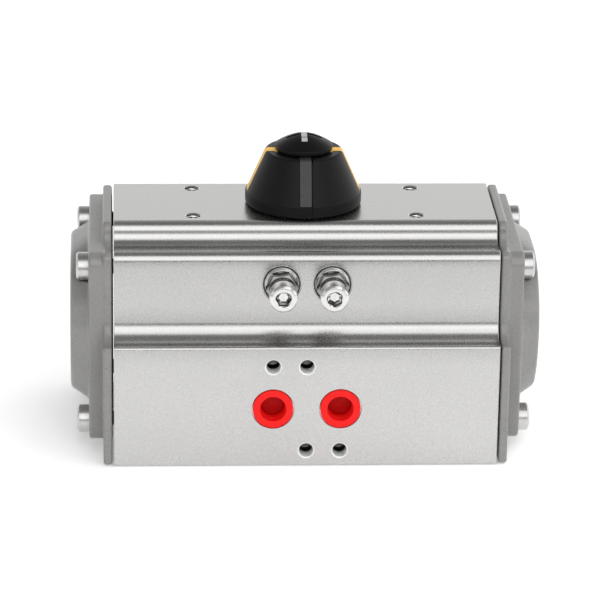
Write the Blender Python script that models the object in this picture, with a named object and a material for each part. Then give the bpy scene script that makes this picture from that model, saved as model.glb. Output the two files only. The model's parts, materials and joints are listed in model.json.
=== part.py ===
"""Rotary pneumatic actuator: double acting, rack and pinion, quarter turn, 63 mm bore.

Metres, +Z up. The two cylinders' common bore runs along X and the drive shaft stands on Z. Everything is
laid out around the drive axis: x and y are 0 on it, and z is 0 on the face that bolts to the valve. The
empty called drive_axis carries that layout, and puts the middle of the whole footprint on the origin.

It is shown with the pistons together, which is the clockwise, closed end of the quarter turn.
"""

import math

import bmesh
import bpy
from mathutils import Vector

MM = 0.001
GAP = 0.3 * MM  # left between pieces that touch on the real object
ALONG_X, ALONG_Y, ALONG_Z = range(3)
SIDES = {"left": -1, "right": 1}

# Housing: an extrusion along X, flat behind, stepped twice in front.
HOUSING_LENGTH = 137 * MM
HOUSING_HEIGHT = 83.8 * MM
FRONT_FACE_Y = -47 * MM
MIDDLE_FACE_Y = -37 * MM
REAR_FACE_Y = 36 * MM
PLATFORM_HALF_WIDTH = 23 * MM
PLATFORM_EDGE_RADIUS = 4 * MM
PLATFORM_FILLET_RADIUS = 6 * MM
SHOULDER_Z = 77.1 * MM
SHOULDER_RADIUS = 2 * MM
SHOULDER_SLOPE = math.radians(4.7)
FRONT_LEDGE_Z = 45.5 * MM
FRONT_LEDGE_FILLET = 9 * MM
EDGE_RADIUS = 1 * MM

# Cylinder bore.
BORE_RADIUS = 31.5 * MM
BORE_Z = 40 * MM
BORE_SEGMENTS = 36
SHAFT_HOLE_END = 20 * MM  # both shaft holes end this far from the bore's axis, inside the bore

# Interfaces.
ACCESSORY_HOLES = [(x * 40 * MM, y * 15 * MM) for x in (-1, 1) for y in (-1, 1)]
ACCESSORY_HOLE_DEPTH = 8 * MM
PORT_X, PORT_Z = 12 * MM, 22 * MM
PORT_RADIUS, PORT_DEPTH = 6 * MM, 15 * MM
PORT_RIM_RADIUS, PORT_RIM_DEPTH = 7.5 * MM, 1.6 * MM
VALVE_HOLES = [(-12 * MM, 38 * MM), (0, 38 * MM), (0, 6 * MM), (12 * MM, 6 * MM)]
VALVE_HOLE_DEPTH = 9 * MM
M5_RADIUS, M5_MOUTH_RADIUS = 2.2 * MM, 2.65 * MM
SMALL_FLANGE_CIRCLE, SMALL_FLANGE_RADIUS, SMALL_FLANGE_DEPTH = 25 * MM, 2.6 * MM, 9 * MM
LARGE_FLANGE_CIRCLE, LARGE_FLANGE_RADIUS, LARGE_FLANGE_DEPTH = 35 * MM, 3.5 * MM, 12 * MM
SPIGOT_RECESS_RADIUS, SPIGOT_RECESS_DEPTH = 17.6 * MM, 2.5 * MM

# Air channel, end to end through the front wall, with a drilling up from the right port.
CHANNEL_Y, CHANNEL_Z, CHANNEL_RADIUS = -38 * MM, 31 * MM, 2 * MM
CHANNEL_SEGMENTS = 10
AIR_SLOT_START = 0.7  # share of the way from the bore's axis to the channel
PORT_PASSAGE_RADIUS, DRILLING_RADIUS = 2.5 * MM, 1.7 * MM
PASSAGE_END_Y = -20 * MM

# End caps: an inner flange like the housing's end, a smaller outer flange, and a tapered boss.
CAP_START = HOUSING_LENGTH / 2 + 0.6 * MM
INNER_FLANGE_END = 72.3 * MM
OUTER_FLANGE_END = 77.4 * MM
CAP_END = 84 * MM
INNER_FLANGE_INSET = 0.5 * MM
OUTER_FLANGE_LOW, OUTER_FLANGE_HIGH = (-36 * MM, 5 * MM), (35 * MM, 76 * MM)
OUTER_FLANGE_CORNER = 4.5 * MM
BOSS_BASE_HALF = [
    (10.5, 73.6),
    (19.3, 68.4),
    (26, 63.6),
    (32.6, 57),
    (35, 48),
    (34.8, 38),
    (32, 27),
    (25.5, 17.2),
    (12, 13.1),
]
BOSS_TIP_HALF = [
    (9.5, 68.9),
    (17.5, 66.6),
    (23.8, 62.4),
    (29.4, 56),
    (32, 48),
    (31.6, 39),
    (29.2, 30),
    (23, 20.8),
    (10.5, 17.9),
]
CAP_RECESS_RADIUS, CAP_RECESS_END = 30 * MM, 74.6 * MM
CAP_POCKET_RADIUS, CAP_POCKET_END = 20 * MM, 80.9 * MM
SEAL_RADII, SEAL_EAR_RADII = (32.1 * MM, 34.1 * MM), (3.2 * MM, 5.2 * MM)
SEAL_END = 70.2 * MM

# Cap screws, M6 with cylindrical heads.
CAP_SCREWS = [(y, z) for z in (68.4 * MM, 9.8 * MM) for y in (-25 * MM, 25 * MM)]
M6_RADIUS, M6_HOLE_RADIUS = 2.9 * MM, 3.2 * MM
M6_HEAD_RADIUS, M6_HEAD_LENGTH, M6_KEY = 5 * MM, 6 * MM, 5 * MM
SPOT_FACE_RADIUS = 5.7 * MM
CAP_SCREW_SEAT = 75.8 * MM
CAP_SCREW_TIP = 55 * MM

# Rack and pinion.
MODULE, TEETH, PRESSURE_ANGLE = 1.5 * MM, 14, math.radians(20)
PITCH_RADIUS = MODULE * TEETH / 2
PINION_ADDENDUM, RACK_ADDENDUM = 1.4 * MM, 1.2 * MM
DEDENDUM = 1.9 * MM
FLANK_PLAY = 0.12 * MM
GEAR_LOW, GEAR_HIGH = 27 * MM, 53 * MM
RACK_HALF_HEIGHT = 12 * MM
RACK_TOOTH_RANGE = range(-4, 3)

# Pistons, each a disc with a rack that reaches past the pinion.
PISTON_RADIUS = BORE_RADIUS - GAP
PISTON_INNER_X, PISTON_OUTER_X = 37 * MM, 51 * MM
PISTON_RECESS_RADIUS, PISTON_RECESS_DEPTH = 18 * MM, 8 * MM
WEAR_RING_GROOVE = (38.8 * MM, 43.2 * MM, 29.4 * MM)
PISTON_ORING_GROOVE = (45.5 * MM, 49 * MM, 28.4 * MM)
PISTON_ORING_RADIUS = 1.15 * MM
RACK_END_X = -23 * MM
RACK_BACK_Y = 27.2 * MM
RACK_OVERLAP = 1.5 * MM  # how far a rack runs into its piston's disc
PAD_FLOOR_Y, PAD_HALF_HEIGHT = 25.2 * MM, 9.7 * MM
PAD_LOW_X, PAD_HIGH_X = -15.7 * MM, 27.7 * MM

# Drive shaft, from the square socket below to the accessory end above.
SHAFT_LOW, SHAFT_HIGH = 0.8 * MM, 103.6 * MM
LOWER_JOURNAL_RADIUS, LOWER_JOURNAL_HIGH = 13 * MM, 26 * MM
LOWER_HOLE_RADIUS = 15 * MM
LOWER_ORING_GROOVE = (5.8 * MM, 8.8 * MM, 11.9 * MM)
LOWER_BUSH = (2.8 * MM, 5.5 * MM)
SOCKET_SQUARE, SOCKET_CORNER_RADIUS, SOCKET_DEPTH = 14 * MM, 9.1 * MM, 18 * MM
CORE_RADIUS = 7.4 * MM
CAM_SEAT_FLATS, CAM_SEAT_HIGH = 16 * MM, 68 * MM
UPPER_JOURNAL_RADIUS, UPPER_JOURNAL_HIGH = 7.9 * MM, 89.2 * MM
UPPER_HOLE_RADIUS = 10.1 * MM
UPPER_ORING_GROOVE = (75 * MM, 78.8 * MM, 6.4 * MM)
UPPER_BUSH = (79.4 * MM, 83.4 * MM)
CIRCLIP_GROOVE = (86.6 * MM, 88 * MM, 7.2 * MM)
CIRCLIP_RADIUS, CIRCLIP_LEVELS = 10.3 * MM, (86.9 * MM, 87.7 * MM)
CIRCLIP_OPENING = 20  # degrees from +X to each end of the ring
CIRCLIP_STEPS = 18
THRUST_BEARING_RADIUS, THRUST_BEARING_LEVELS = 13 * MM, (84.1 * MM, 85.3 * MM)
THRUST_WASHER_RADIUS, THRUST_WASHER_LEVELS = 12.6 * MM, (85.6 * MM, 86.3 * MM)
SHAFT_END_RADIUS, SHAFT_END_FLATS = 6.3 * MM, 10 * MM
SHAFT_THREAD_RADIUS, SHAFT_THREAD_LOW = 2.7 * MM, 90 * MM

# Travel stop cam and its two adjusting screws.
CAM_LOW, CAM_HIGH = 60 * MM, 66 * MM
CAM_HUB_RADIUS, CAM_LUG_RADIUS, CAM_STOP_FACE = 11.3 * MM, 16 * MM, 12.3 * MM
ADJUSTER_X, ADJUSTER_Z = 9 * MM, 65.6 * MM
ADJUSTER_TIP_Y, ADJUSTER_HEAD_Y, ADJUSTER_FRONT_Y = -12.6 * MM, -46.5 * MM, -52.5 * MM
ADJUSTER_RECESS_RADIUS, ADJUSTER_RECESS_Y = 6.75 * MM, -35.5 * MM
ADJUSTER_ORING_SEAT_RADIUS, ADJUSTER_ORING_SEAT_Y = 4.9 * MM, -33.9 * MM
ADJUSTER_ORING_RADIUS, ADJUSTER_ORING_WIRE = 4.05 * MM, 0.5 * MM
ADJUSTER_WASHER_RADIUS, ADJUSTER_WASHER_Y = 6.25 * MM, (-37.4 * MM, -35.8 * MM)
NUT_FLATS, NUT_Y = 10 * MM, (-42.7 * MM, -37.7 * MM)
SCREW_HOLE_RADIUS = 3.25 * MM

# Position indicator on top.
INDICATOR_LOW, INDICATOR_BAND, INDICATOR_TOP = 84.3 * MM, 88.2 * MM, 103.9 * MM
INDICATOR_BASE_RADIUS, INDICATOR_TOP_RADIUS = 21 * MM, 13.8 * MM
INDICATOR_WALL = 3 * MM
INDICATOR_HUB_RADIUS, INDICATOR_HUB_LOW = 9 * MM, 90 * MM
INSERT_WIDTH, INSERT_THICKNESS, INSERT_INNER_RADIUS = 4.2 * MM, 1.2 * MM, 9.4 * MM
INSERT_FOOT, INSERT_BEND = 0.5 * MM, 0.7 * MM  # its height over the band, and its chamfer at the rim
DOME_RADIUS, DOME_LOW, DOME_SHOULDER, DOME_APEX = 10.3 * MM, 104.2 * MM, 105.8 * MM, 109.9 * MM
DOME_FALL, DOME_RINGS = 1.7, 6
DOME_FOOT_RADIUS, DOME_STUD_RADIUS, DOME_STUD_LOW = 8.6 * MM, 2.4 * MM, 93 * MM
DOME_SLOT_WIDTH, DOME_SLOT_FLOOR = 1.6 * MM, 107.9 * MM

# Red shipping plugs in the two ports.
PLUG_FRONT_Y, PLUG_RIM_BACK_Y, PLUG_BACK_Y = -47.2 * MM, -45.7 * MM, -39.4 * MM
PLUG_FLOOR = 1.2 * MM
PLUG_RIM_RADIUS, PLUG_BODY_RADIUS, PLUG_HOLLOW_RADIUS = 7.2 * MM, 5.7 * MM, 4.45 * MM

FOOTPRINT_CENTRE_Y = (ADJUSTER_FRONT_Y + REAR_FACE_Y) / 2

FINISHES = {
    "anodised_aluminium": ((0.62, 0.62, 0.61), 0.38, 0.9),
    "grey_paint": ((0.42, 0.42, 0.40), 0.55, 0.0),
    "die_cast_aluminium": ((0.58, 0.58, 0.58), 0.5, 0.9),
    "plated_steel": ((0.45, 0.46, 0.48), 0.35, 1.0),
    "stainless_steel": ((0.72, 0.72, 0.72), 0.25, 1.0),
    "black_rubber": ((0.02, 0.02, 0.02), 0.8, 0.0),
    "white_bearing_plastic": ((0.8, 0.79, 0.74), 0.5, 0.0),
    "black_plastic": ((0.02, 0.02, 0.02), 0.4, 0.0),
    "yellow_plastic": ((0.85, 0.5, 0.05), 0.4, 0.0),
    "red_plastic": ((0.8, 0.02, 0.02), 0.45, 0.0),
}


# --- outlines, as lists of (a, b) points ---


def arc(centre, radius, start, end, steps):
    """Points round a centre from one angle in degrees to another, both ends included."""
    angles = [math.radians(start + (end - start) * i / steps) for i in range(steps + 1)]
    return [(centre[0] + radius * math.cos(a), centre[1] + radius * math.sin(a)) for a in angles]


def circle(radius, segments, centre=(0, 0)):
    return arc(centre, radius, 0, 360 * (segments - 1) / segments, segments - 1)


def polygon(flats, corners, turn=0):
    """A regular polygon, given across its flats."""
    radius = flats / 2 / math.cos(math.pi / corners)
    angles = [math.radians(turn) + 2 * math.pi * i / corners for i in range(corners)]
    return [(radius * math.cos(a), radius * math.sin(a)) for a in angles]


def rectangle(low, high):
    return [low, (high[0], low[1]), high, (low[0], high[1])]


def rounded_rectangle(low, high, radius, steps=5):
    right, top = high[0] - radius, high[1] - radius
    left, bottom = low[0] + radius, low[1] + radius
    return (
        arc((right, top), radius, 0, 90, steps)
        + arc((left, top), radius, 90, 180, steps)
        + arc((left, bottom), radius, 180, 270, steps)
        + arc((right, bottom), radius, 270, 360, steps)
    )


def capsule(start, end, radius, end_radius, steps=6):
    """Two circles and the straight lines that touch both."""
    across, up = end[0] - start[0], end[1] - start[1]
    heading = math.degrees(math.atan2(up, across))
    lean = math.degrees(math.acos((radius - end_radius) / math.hypot(across, up)))
    far = arc(end, end_radius, heading - lean, heading + lean, steps)
    return far + arc(start, radius, heading + lean, heading + 360 - lean, 4 * steps)


def double_flat(radius, flats):
    """A circle with two flats that face along the second axis."""
    reach = math.degrees(math.asin(flats / 2 / radius))
    return arc((0, 0), radius, -reach, reach, 4) + arc((0, 0), radius, 180 - reach, 180 + reach, 4)


def smooth_loop(points, steps):
    """A closed Catmull-Rom curve through the points."""
    loop, count = [], len(points)
    for i in range(count):
        before, start, end, after = (Vector(points[(i + k) % count]) for k in (-1, 0, 1, 2))
        for j in range(steps):
            t = j / steps
            even = 2 * start + (end - before) * t
            bend = (2 * before - 5 * start + 4 * end - after) * t**2
            twist = (3 * start - before - 3 * end + after) * t**3
            loop.append(tuple((even + bend + twist) / 2))
    return loop


def mirrored_half(half, scale):
    """The whole outline of which half gives the right side, top to bottom."""
    right = [(a * scale, b * scale) for a, b in half]
    return right + [(-a, b) for a, b in reversed(right)]


def shoulder(face, outward):
    """The platform's edge and foot, the ledge and the upper corner, from the top outward in (y, z)."""
    edge_end = math.radians(75)
    crest = (PLATFORM_HALF_WIDTH - PLATFORM_EDGE_RADIUS, HOUSING_HEIGHT - PLATFORM_EDGE_RADIUS)
    corner = (face - SHOULDER_RADIUS, SHOULDER_Z - SHOULDER_RADIUS)
    turn = (
        crest[0] + (PLATFORM_EDGE_RADIUS + PLATFORM_FILLET_RADIUS) * math.sin(edge_end),
        crest[1] + (PLATFORM_EDGE_RADIUS + PLATFORM_FILLET_RADIUS) * math.cos(edge_end),
    )
    slope = math.degrees(SHOULDER_SLOPE)
    points = arc(crest, PLATFORM_EDGE_RADIUS, 90, 90 - math.degrees(edge_end), 6)
    points += arc(turn, PLATFORM_FILLET_RADIUS, 270 - math.degrees(edge_end), 270 + slope, 7)[1:]
    points += arc(corner, SHOULDER_RADIUS, 90 + slope, 0, 5)
    return [(y * outward, z) for y, z in points]


def housing_outline(inset=0):
    """The housing's section in (y, z), from the front of the platform round to its rear."""
    front = shoulder(-MIDDLE_FACE_Y, -1)
    ledge = (MIDDLE_FACE_Y - FRONT_LEDGE_FILLET, FRONT_LEDGE_Z + FRONT_LEDGE_FILLET)
    front += arc(ledge, FRONT_LEDGE_FILLET, 0, -90, 7)
    front += arc((FRONT_FACE_Y + EDGE_RADIUS, FRONT_LEDGE_Z - EDGE_RADIUS), EDGE_RADIUS, 90, 180, 4)
    front += arc((FRONT_FACE_Y + EDGE_RADIUS, EDGE_RADIUS), EDGE_RADIUS, 180, 270, 3)
    rear = arc((REAR_FACE_Y - EDGE_RADIUS, EDGE_RADIUS), EDGE_RADIUS, 270, 360, 3)
    rear += reversed(shoulder(REAR_FACE_Y, 1))
    outline = front + rear
    return inward(outline, inset) if inset else outline


def inward(outline, distance):
    """The outline moved to its left by a distance, for one that runs anticlockwise."""
    moved, count = [], len(outline)
    for i, here in enumerate(outline):
        point = Vector(here)
        into = (point - Vector(outline[i - 1])).normalized()
        out_of = (Vector(outline[(i + 1) % count]) - point).normalized()
        heading = (into + out_of).normalized()
        stretch = distance / max(0.5, heading.dot(into))
        moved.append((point.x - heading.y * stretch, point.y + heading.x * stretch))
    return moved


def gear_outline():
    """Involute teeth, with a space facing each rack."""
    base_radius = PITCH_RADIUS * math.cos(PRESSURE_ANGLE)
    tip_radius, root_radius = PITCH_RADIUS + PINION_ADDENDUM, PITCH_RADIUS - DEDENDUM
    half_tooth = math.pi / 2 / TEETH - FLANK_PLAY / PITCH_RADIUS
    at_pitch = half_tooth + math.tan(PRESSURE_ANGLE) - PRESSURE_ANGLE
    flank = [(root_radius, at_pitch)]
    for i in range(4):
        radius = base_radius + (tip_radius - base_radius) * i / 3
        angle = math.acos(base_radius / radius)
        flank.append((radius, at_pitch - math.tan(angle) + angle))
    outline = []
    for tooth in range(TEETH):
        middle = 2 * math.pi * (tooth + 0.5) / TEETH - math.pi / 2
        polar = [(r, middle - a) for r, a in flank] + [(r, middle + a) for r, a in reversed(flank)]
        outline += [(r * math.cos(a), r * math.sin(a)) for r, a in polar]
    return outline


def rack_outline():
    """The right piston's rack in (x, y): it lies on the -Y side of the pinion with its teeth facing +Y."""
    half_tooth = math.pi * MODULE / 4 - FLANK_PLAY
    lean = math.tan(PRESSURE_ANGLE)
    tip_y, root_y = -PITCH_RADIUS + RACK_ADDENDUM, -PITCH_RADIUS - DEDENDUM
    tip_half, root_half = half_tooth - RACK_ADDENDUM * lean, half_tooth + DEDENDUM * lean
    outline = [(RACK_END_X, -RACK_BACK_Y), (RACK_END_X, root_y)]
    for tooth in RACK_TOOTH_RANGE:
        x = tooth * math.pi * MODULE
        outline += [(x - root_half, root_y), (x - tip_half, tip_y)]
        outline += [(x + tip_half, tip_y), (x + root_half, root_y)]
    inside_disc = PISTON_INNER_X + RACK_OVERLAP
    return outline + [(inside_disc, root_y), (inside_disc, -RACK_BACK_Y)]


def socket_outline():
    """The star that takes a valve stem: two squares an eighth of a turn apart, with the corners off."""
    corner_half_angle = math.pi / 4 - math.acos(SOCKET_SQUARE / 2 / SOCKET_CORNER_RADIUS)
    inner_radius = SOCKET_SQUARE / 2 / math.cos(math.pi / 8)
    outline = []
    for corner in range(8):
        angle = corner * math.pi / 4
        polar = [
            (SOCKET_CORNER_RADIUS, angle - corner_half_angle),
            (SOCKET_CORNER_RADIUS, angle + corner_half_angle),
            (inner_radius, angle + math.pi / 8),
        ]
        outline += [(r * math.cos(a), r * math.sin(a)) for r, a in polar]
    return outline


def cam_outline():
    """A hub with two lugs. Each lug has a flat stop face, and the faces are a quarter turn apart."""
    corner = math.sqrt(CAM_LUG_RADIUS**2 - CAM_STOP_FACE**2)
    corner_angle = math.degrees(math.atan2(CAM_STOP_FACE, corner))
    inner = 2 * MM
    outline = arc((0, 0), CAM_HUB_RADIUS, 176, 264, 10)
    outline += [(inner, -CAM_STOP_FACE)]
    outline += arc((0, 0), CAM_LUG_RADIUS, -corner_angle, -5, 5)
    outline += arc((0, 0), CAM_HUB_RADIUS, 0, 90, 9)
    outline += arc((0, 0), CAM_LUG_RADIUS, 95, 90 + corner_angle, 5)
    return outline + [(-CAM_STOP_FACE, inner)]


# --- shells ---


def in_space(axis, a, b, level):
    """A point of an outline, at a level along the axis that the outline's plane faces."""
    if axis == ALONG_X:
        return level, a, b
    if axis == ALONG_Y:
        return a, level, b
    return a, b, level


def ring_at(bm, axis, outline, level):
    return [bm.verts.new(in_space(axis, a, b, level)) for a, b in outline]


def wall(bm, ring, following):
    for i in range(len(ring)):
        bm.faces.new((ring[i - 1], ring[i], following[i], following[i - 1]))


def loft(bm, axis, sections):
    """A closed solid through outlines with equally many points, each given with its level."""
    rings = [ring_at(bm, axis, outline, level) for outline, level in sections]
    for ring, following in zip(rings, rings[1:]):
        wall(bm, ring, following)
    bm.faces.new(rings[0])
    bm.faces.new(rings[-1])


def prism(bm, axis, outline, low, high):
    loft(bm, axis, [(outline, low), (outline, high)])


def band(bm, axis, outer, inner, low, high):
    """A prism with a hole of the same number of points."""
    loops = [(outer, low), (outer, high), (inner, high), (inner, low)]
    rings = [ring_at(bm, axis, outline, level) for outline, level in loops]
    for i, ring in enumerate(rings):
        wall(bm, rings[i - 1], ring)


def turned(bm, axis, profile, segments=24, centre=(0, 0)):
    """A turned solid from (radius, level) points, closed on itself or run from axis to axis."""
    rings = []
    for radius, level in profile:
        outline = circle(radius, segments, centre) if radius else [centre]
        rings.append(ring_at(bm, axis, outline, level))
    pairs = list(zip(rings, rings[1:]))
    if profile[0][0]:
        pairs.append((rings[-1], rings[0]))
    for ring, following in pairs:
        if len(ring) == 1:
            for i in range(segments):
                bm.faces.new((ring[0], following[i], following[i - 1]))
        elif len(following) == 1:
            for i in range(segments):
                bm.faces.new((ring[i - 1], ring[i], following[0]))
        else:
            wall(bm, ring, following)


def round_ring(bm, axis, radius, wire_radius, level, segments=24, sides=6, centre=(0, 0)):
    """An O-ring."""
    profile = arc((radius, level), wire_radius, 0, 360 * (sides - 1) / sides, sides - 1)
    turned(bm, axis, profile, segments, centre)


def flat_ring(bm, axis, radii, levels, segments=24, centre=(0, 0)):
    inner, outer = radii
    low, high = levels
    turned(bm, axis, [(inner, low), (outer, low), (outer, high), (inner, high)], segments, centre)


def span(side, start, end):
    """A stretch along X on one side of the drive axis, low end first."""
    return sorted((side * start, side * end))


# --- objects ---


def clear_scene():
    for obj in list(bpy.data.objects):
        bpy.data.objects.remove(obj)


def material(name):
    """The finish's Principled material, made the first time it is asked for."""
    if name in bpy.data.materials:
        return bpy.data.materials[name]
    colour, roughness, metallic = FINISHES[name]
    made = bpy.data.materials.new(name)
    made.use_nodes = True
    shader = made.node_tree.nodes["Principled BSDF"]
    shader.inputs["Base Color"].default_value = (*colour, 1)
    shader.inputs["Roughness"].default_value = roughness
    shader.inputs["Metallic"].default_value = metallic
    made.diffuse_color = (*colour, 1)
    return made


def as_object(name, shells):
    """An object from functions that each add a shell to a mesh."""
    bm = bmesh.new()
    for shell, *arguments in shells:
        shell(bm, *arguments)
    bmesh.ops.recalc_face_normals(bm, faces=bm.faces)
    mesh = bpy.data.meshes.new(name)
    bm.to_mesh(mesh)
    bm.free()
    obj = bpy.data.objects.new(name, mesh)
    bpy.context.scene.collection.objects.link(obj)
    obj.parent = bpy.data.objects["drive_axis"]
    return obj


def node(name, finish, *shells):
    """A piece of the actuator."""
    obj = as_object(name, shells)
    obj.data.materials.append(material(finish))
    obj.data.shade_smooth()
    obj.data.set_sharp_from_angle(angle=math.radians(30))
    return obj


def apply_to(obj, operation, name, *shells):
    """Cuts from the object, or joins to it, a helper made from the shells."""
    helper = as_object(f"{obj.name}_{name}", shells)
    helper.hide_render = True
    helper.display_type = "WIRE"
    modifier = obj.modifiers.new(name, "BOOLEAN")
    modifier.operation = operation
    modifier.object = helper
    modifier.solver = "EXACT"


def cut(obj, name, *shells):
    apply_to(obj, "DIFFERENCE", name, *shells)


def join(obj, name, *shells):
    apply_to(obj, "UNION", name, *shells)


def origin_to(obj, place):
    """Moves the object's origin, and leaves its shape where it is."""
    obj.location = Vector(place)
    for vertex in obj.data.vertices:
        vertex.co -= obj.location


# --- housing ---


def tapped_hole(axis, centre, mouth, depth, into):
    """A small tapped hole with a countersunk mouth, drilled in the direction whose sign is into."""
    countersink = M5_MOUTH_RADIUS - M5_RADIUS
    profile = [
        (0, mouth - into * MM),
        (M5_MOUTH_RADIUS, mouth - into * MM),
        (M5_MOUTH_RADIUS, mouth),
        (M5_RADIUS, mouth + into * countersink),
        (M5_RADIUS, mouth + into * depth),
        (0, mouth + into * (depth + M5_RADIUS / 2)),
    ]
    return turned, axis, profile, 12, centre


def round_hole(axis, centre, radius, low, high, segments=12):
    return prism, axis, circle(radius, segments, centre), low, high


def housing():
    end = HOUSING_LENGTH / 2
    body = node("body", "anodised_aluminium", (prism, ALONG_X, housing_outline(), -end, end))
    bore = round_hole(ALONG_X, (0, BORE_Z), BORE_RADIUS, -end - MM, end + MM, BORE_SEGMENTS)
    cut(body, "bore", bore)
    for label, side in SIDES.items():
        levels = span(side, CAP_SCREW_TIP - MM, end + MM)
        holes = [round_hole(ALONG_X, place, M6_HOLE_RADIUS, *levels) for place in CAP_SCREWS]
        cut(body, f"cap_screw_holes_{label}", *holes)
    cut(body, "upper_shaft_hole", (turned, ALONG_Z, upper_shaft_hole(), 28))
    cut(body, "lower_shaft_hole", (turned, ALONG_Z, lower_shaft_hole(), 28))
    for name, axis, places, mouth, depth, into in (
        ("accessory_holes", ALONG_Z, ACCESSORY_HOLES, HOUSING_HEIGHT, ACCESSORY_HOLE_DEPTH, -1),
        ("valve_holes", ALONG_Y, VALVE_HOLES, FRONT_FACE_Y, VALVE_HOLE_DEPTH, 1),
    ):
        cut(body, name, *[tapped_hole(axis, place, mouth, depth, into) for place in places])
    for name, circle_radius, radius, depth in (
        ("small_flange_holes", SMALL_FLANGE_CIRCLE, SMALL_FLANGE_RADIUS, SMALL_FLANGE_DEPTH),
        ("large_flange_holes", LARGE_FLANGE_CIRCLE, LARGE_FLANGE_RADIUS, LARGE_FLANGE_DEPTH),
    ):
        places = arc((0, 0), circle_radius, 45, 315, 3)
        cut(body, name, *[round_hole(ALONG_Z, place, radius, -MM, depth) for place in places])
    cut(body, "ports", *[port(side * PORT_X) for side in SIDES.values()])
    cut(body, "adjuster_holes", *[adjuster_hole(side * ADJUSTER_X) for side in SIDES.values()])
    port_floor = FRONT_FACE_Y + PORT_DEPTH
    left_passage = round_hole(
        ALONG_Y, (-PORT_X, PORT_Z), PORT_PASSAGE_RADIUS, port_floor - MM, PASSAGE_END_Y
    )
    drilling_low = PORT_Z + PORT_RADIUS / 2
    right_passage = round_hole(
        ALONG_Z, (PORT_X, CHANNEL_Y), DRILLING_RADIUS, drilling_low, CHANNEL_Z, CHANNEL_SEGMENTS
    )
    channel = round_hole(
        ALONG_X, (CHANNEL_Y, CHANNEL_Z), CHANNEL_RADIUS, -end - MM, end + MM, CHANNEL_SEGMENTS
    )
    cut(body, "left_port_passage", left_passage)
    cut(body, "channel", channel)
    cut(body, "right_port_passage", right_passage)


def upper_shaft_hole():
    low, high = BORE_Z + SHAFT_HOLE_END, HOUSING_HEIGHT + MM
    return [(0, low), (UPPER_HOLE_RADIUS, low), (UPPER_HOLE_RADIUS, high), (0, high)]


def lower_shaft_hole():
    """The hole below the bore, with the flange's centring recess round its mouth."""
    high = BORE_Z - SHAFT_HOLE_END
    return [
        (0, -MM),
        (SPIGOT_RECESS_RADIUS, -MM),
        (SPIGOT_RECESS_RADIUS, SPIGOT_RECESS_DEPTH),
        (LOWER_HOLE_RADIUS, SPIGOT_RECESS_DEPTH),
        (LOWER_HOLE_RADIUS, high),
        (0, high),
    ]


def port(x):
    rim = FRONT_FACE_Y + PORT_RIM_DEPTH
    profile = [
        (0, FRONT_FACE_Y - MM),
        (PORT_RIM_RADIUS, FRONT_FACE_Y - MM),
        (PORT_RIM_RADIUS, rim),
        (PORT_RADIUS, rim),
        (PORT_RADIUS, FRONT_FACE_Y + PORT_DEPTH),
        (0, FRONT_FACE_Y + PORT_DEPTH),
    ]
    return turned, ALONG_Y, profile, 20, (x, PORT_Z)


def adjuster_hole(x):
    profile = [
        (0, MIDDLE_FACE_Y - MM),
        (ADJUSTER_RECESS_RADIUS, MIDDLE_FACE_Y - MM),
        (ADJUSTER_RECESS_RADIUS, ADJUSTER_RECESS_Y),
        (ADJUSTER_ORING_SEAT_RADIUS, ADJUSTER_RECESS_Y),
        (ADJUSTER_ORING_SEAT_RADIUS, ADJUSTER_ORING_SEAT_Y),
        (SCREW_HOLE_RADIUS, ADJUSTER_ORING_SEAT_Y),
        (SCREW_HOLE_RADIUS, ADJUSTER_TIP_Y + 2 * MM),
        (0, ADJUSTER_TIP_Y + 2 * MM),
    ]
    return turned, ALONG_Y, profile, 24, (x, ADJUSTER_Z)


# --- end caps ---


def seal_outline(radius, ear_radius):
    """A ring round the bore, drawn out to one side to take in the air channel."""
    return capsule((0, BORE_Z), (CHANNEL_Y, CHANNEL_Z), radius, ear_radius)


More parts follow.
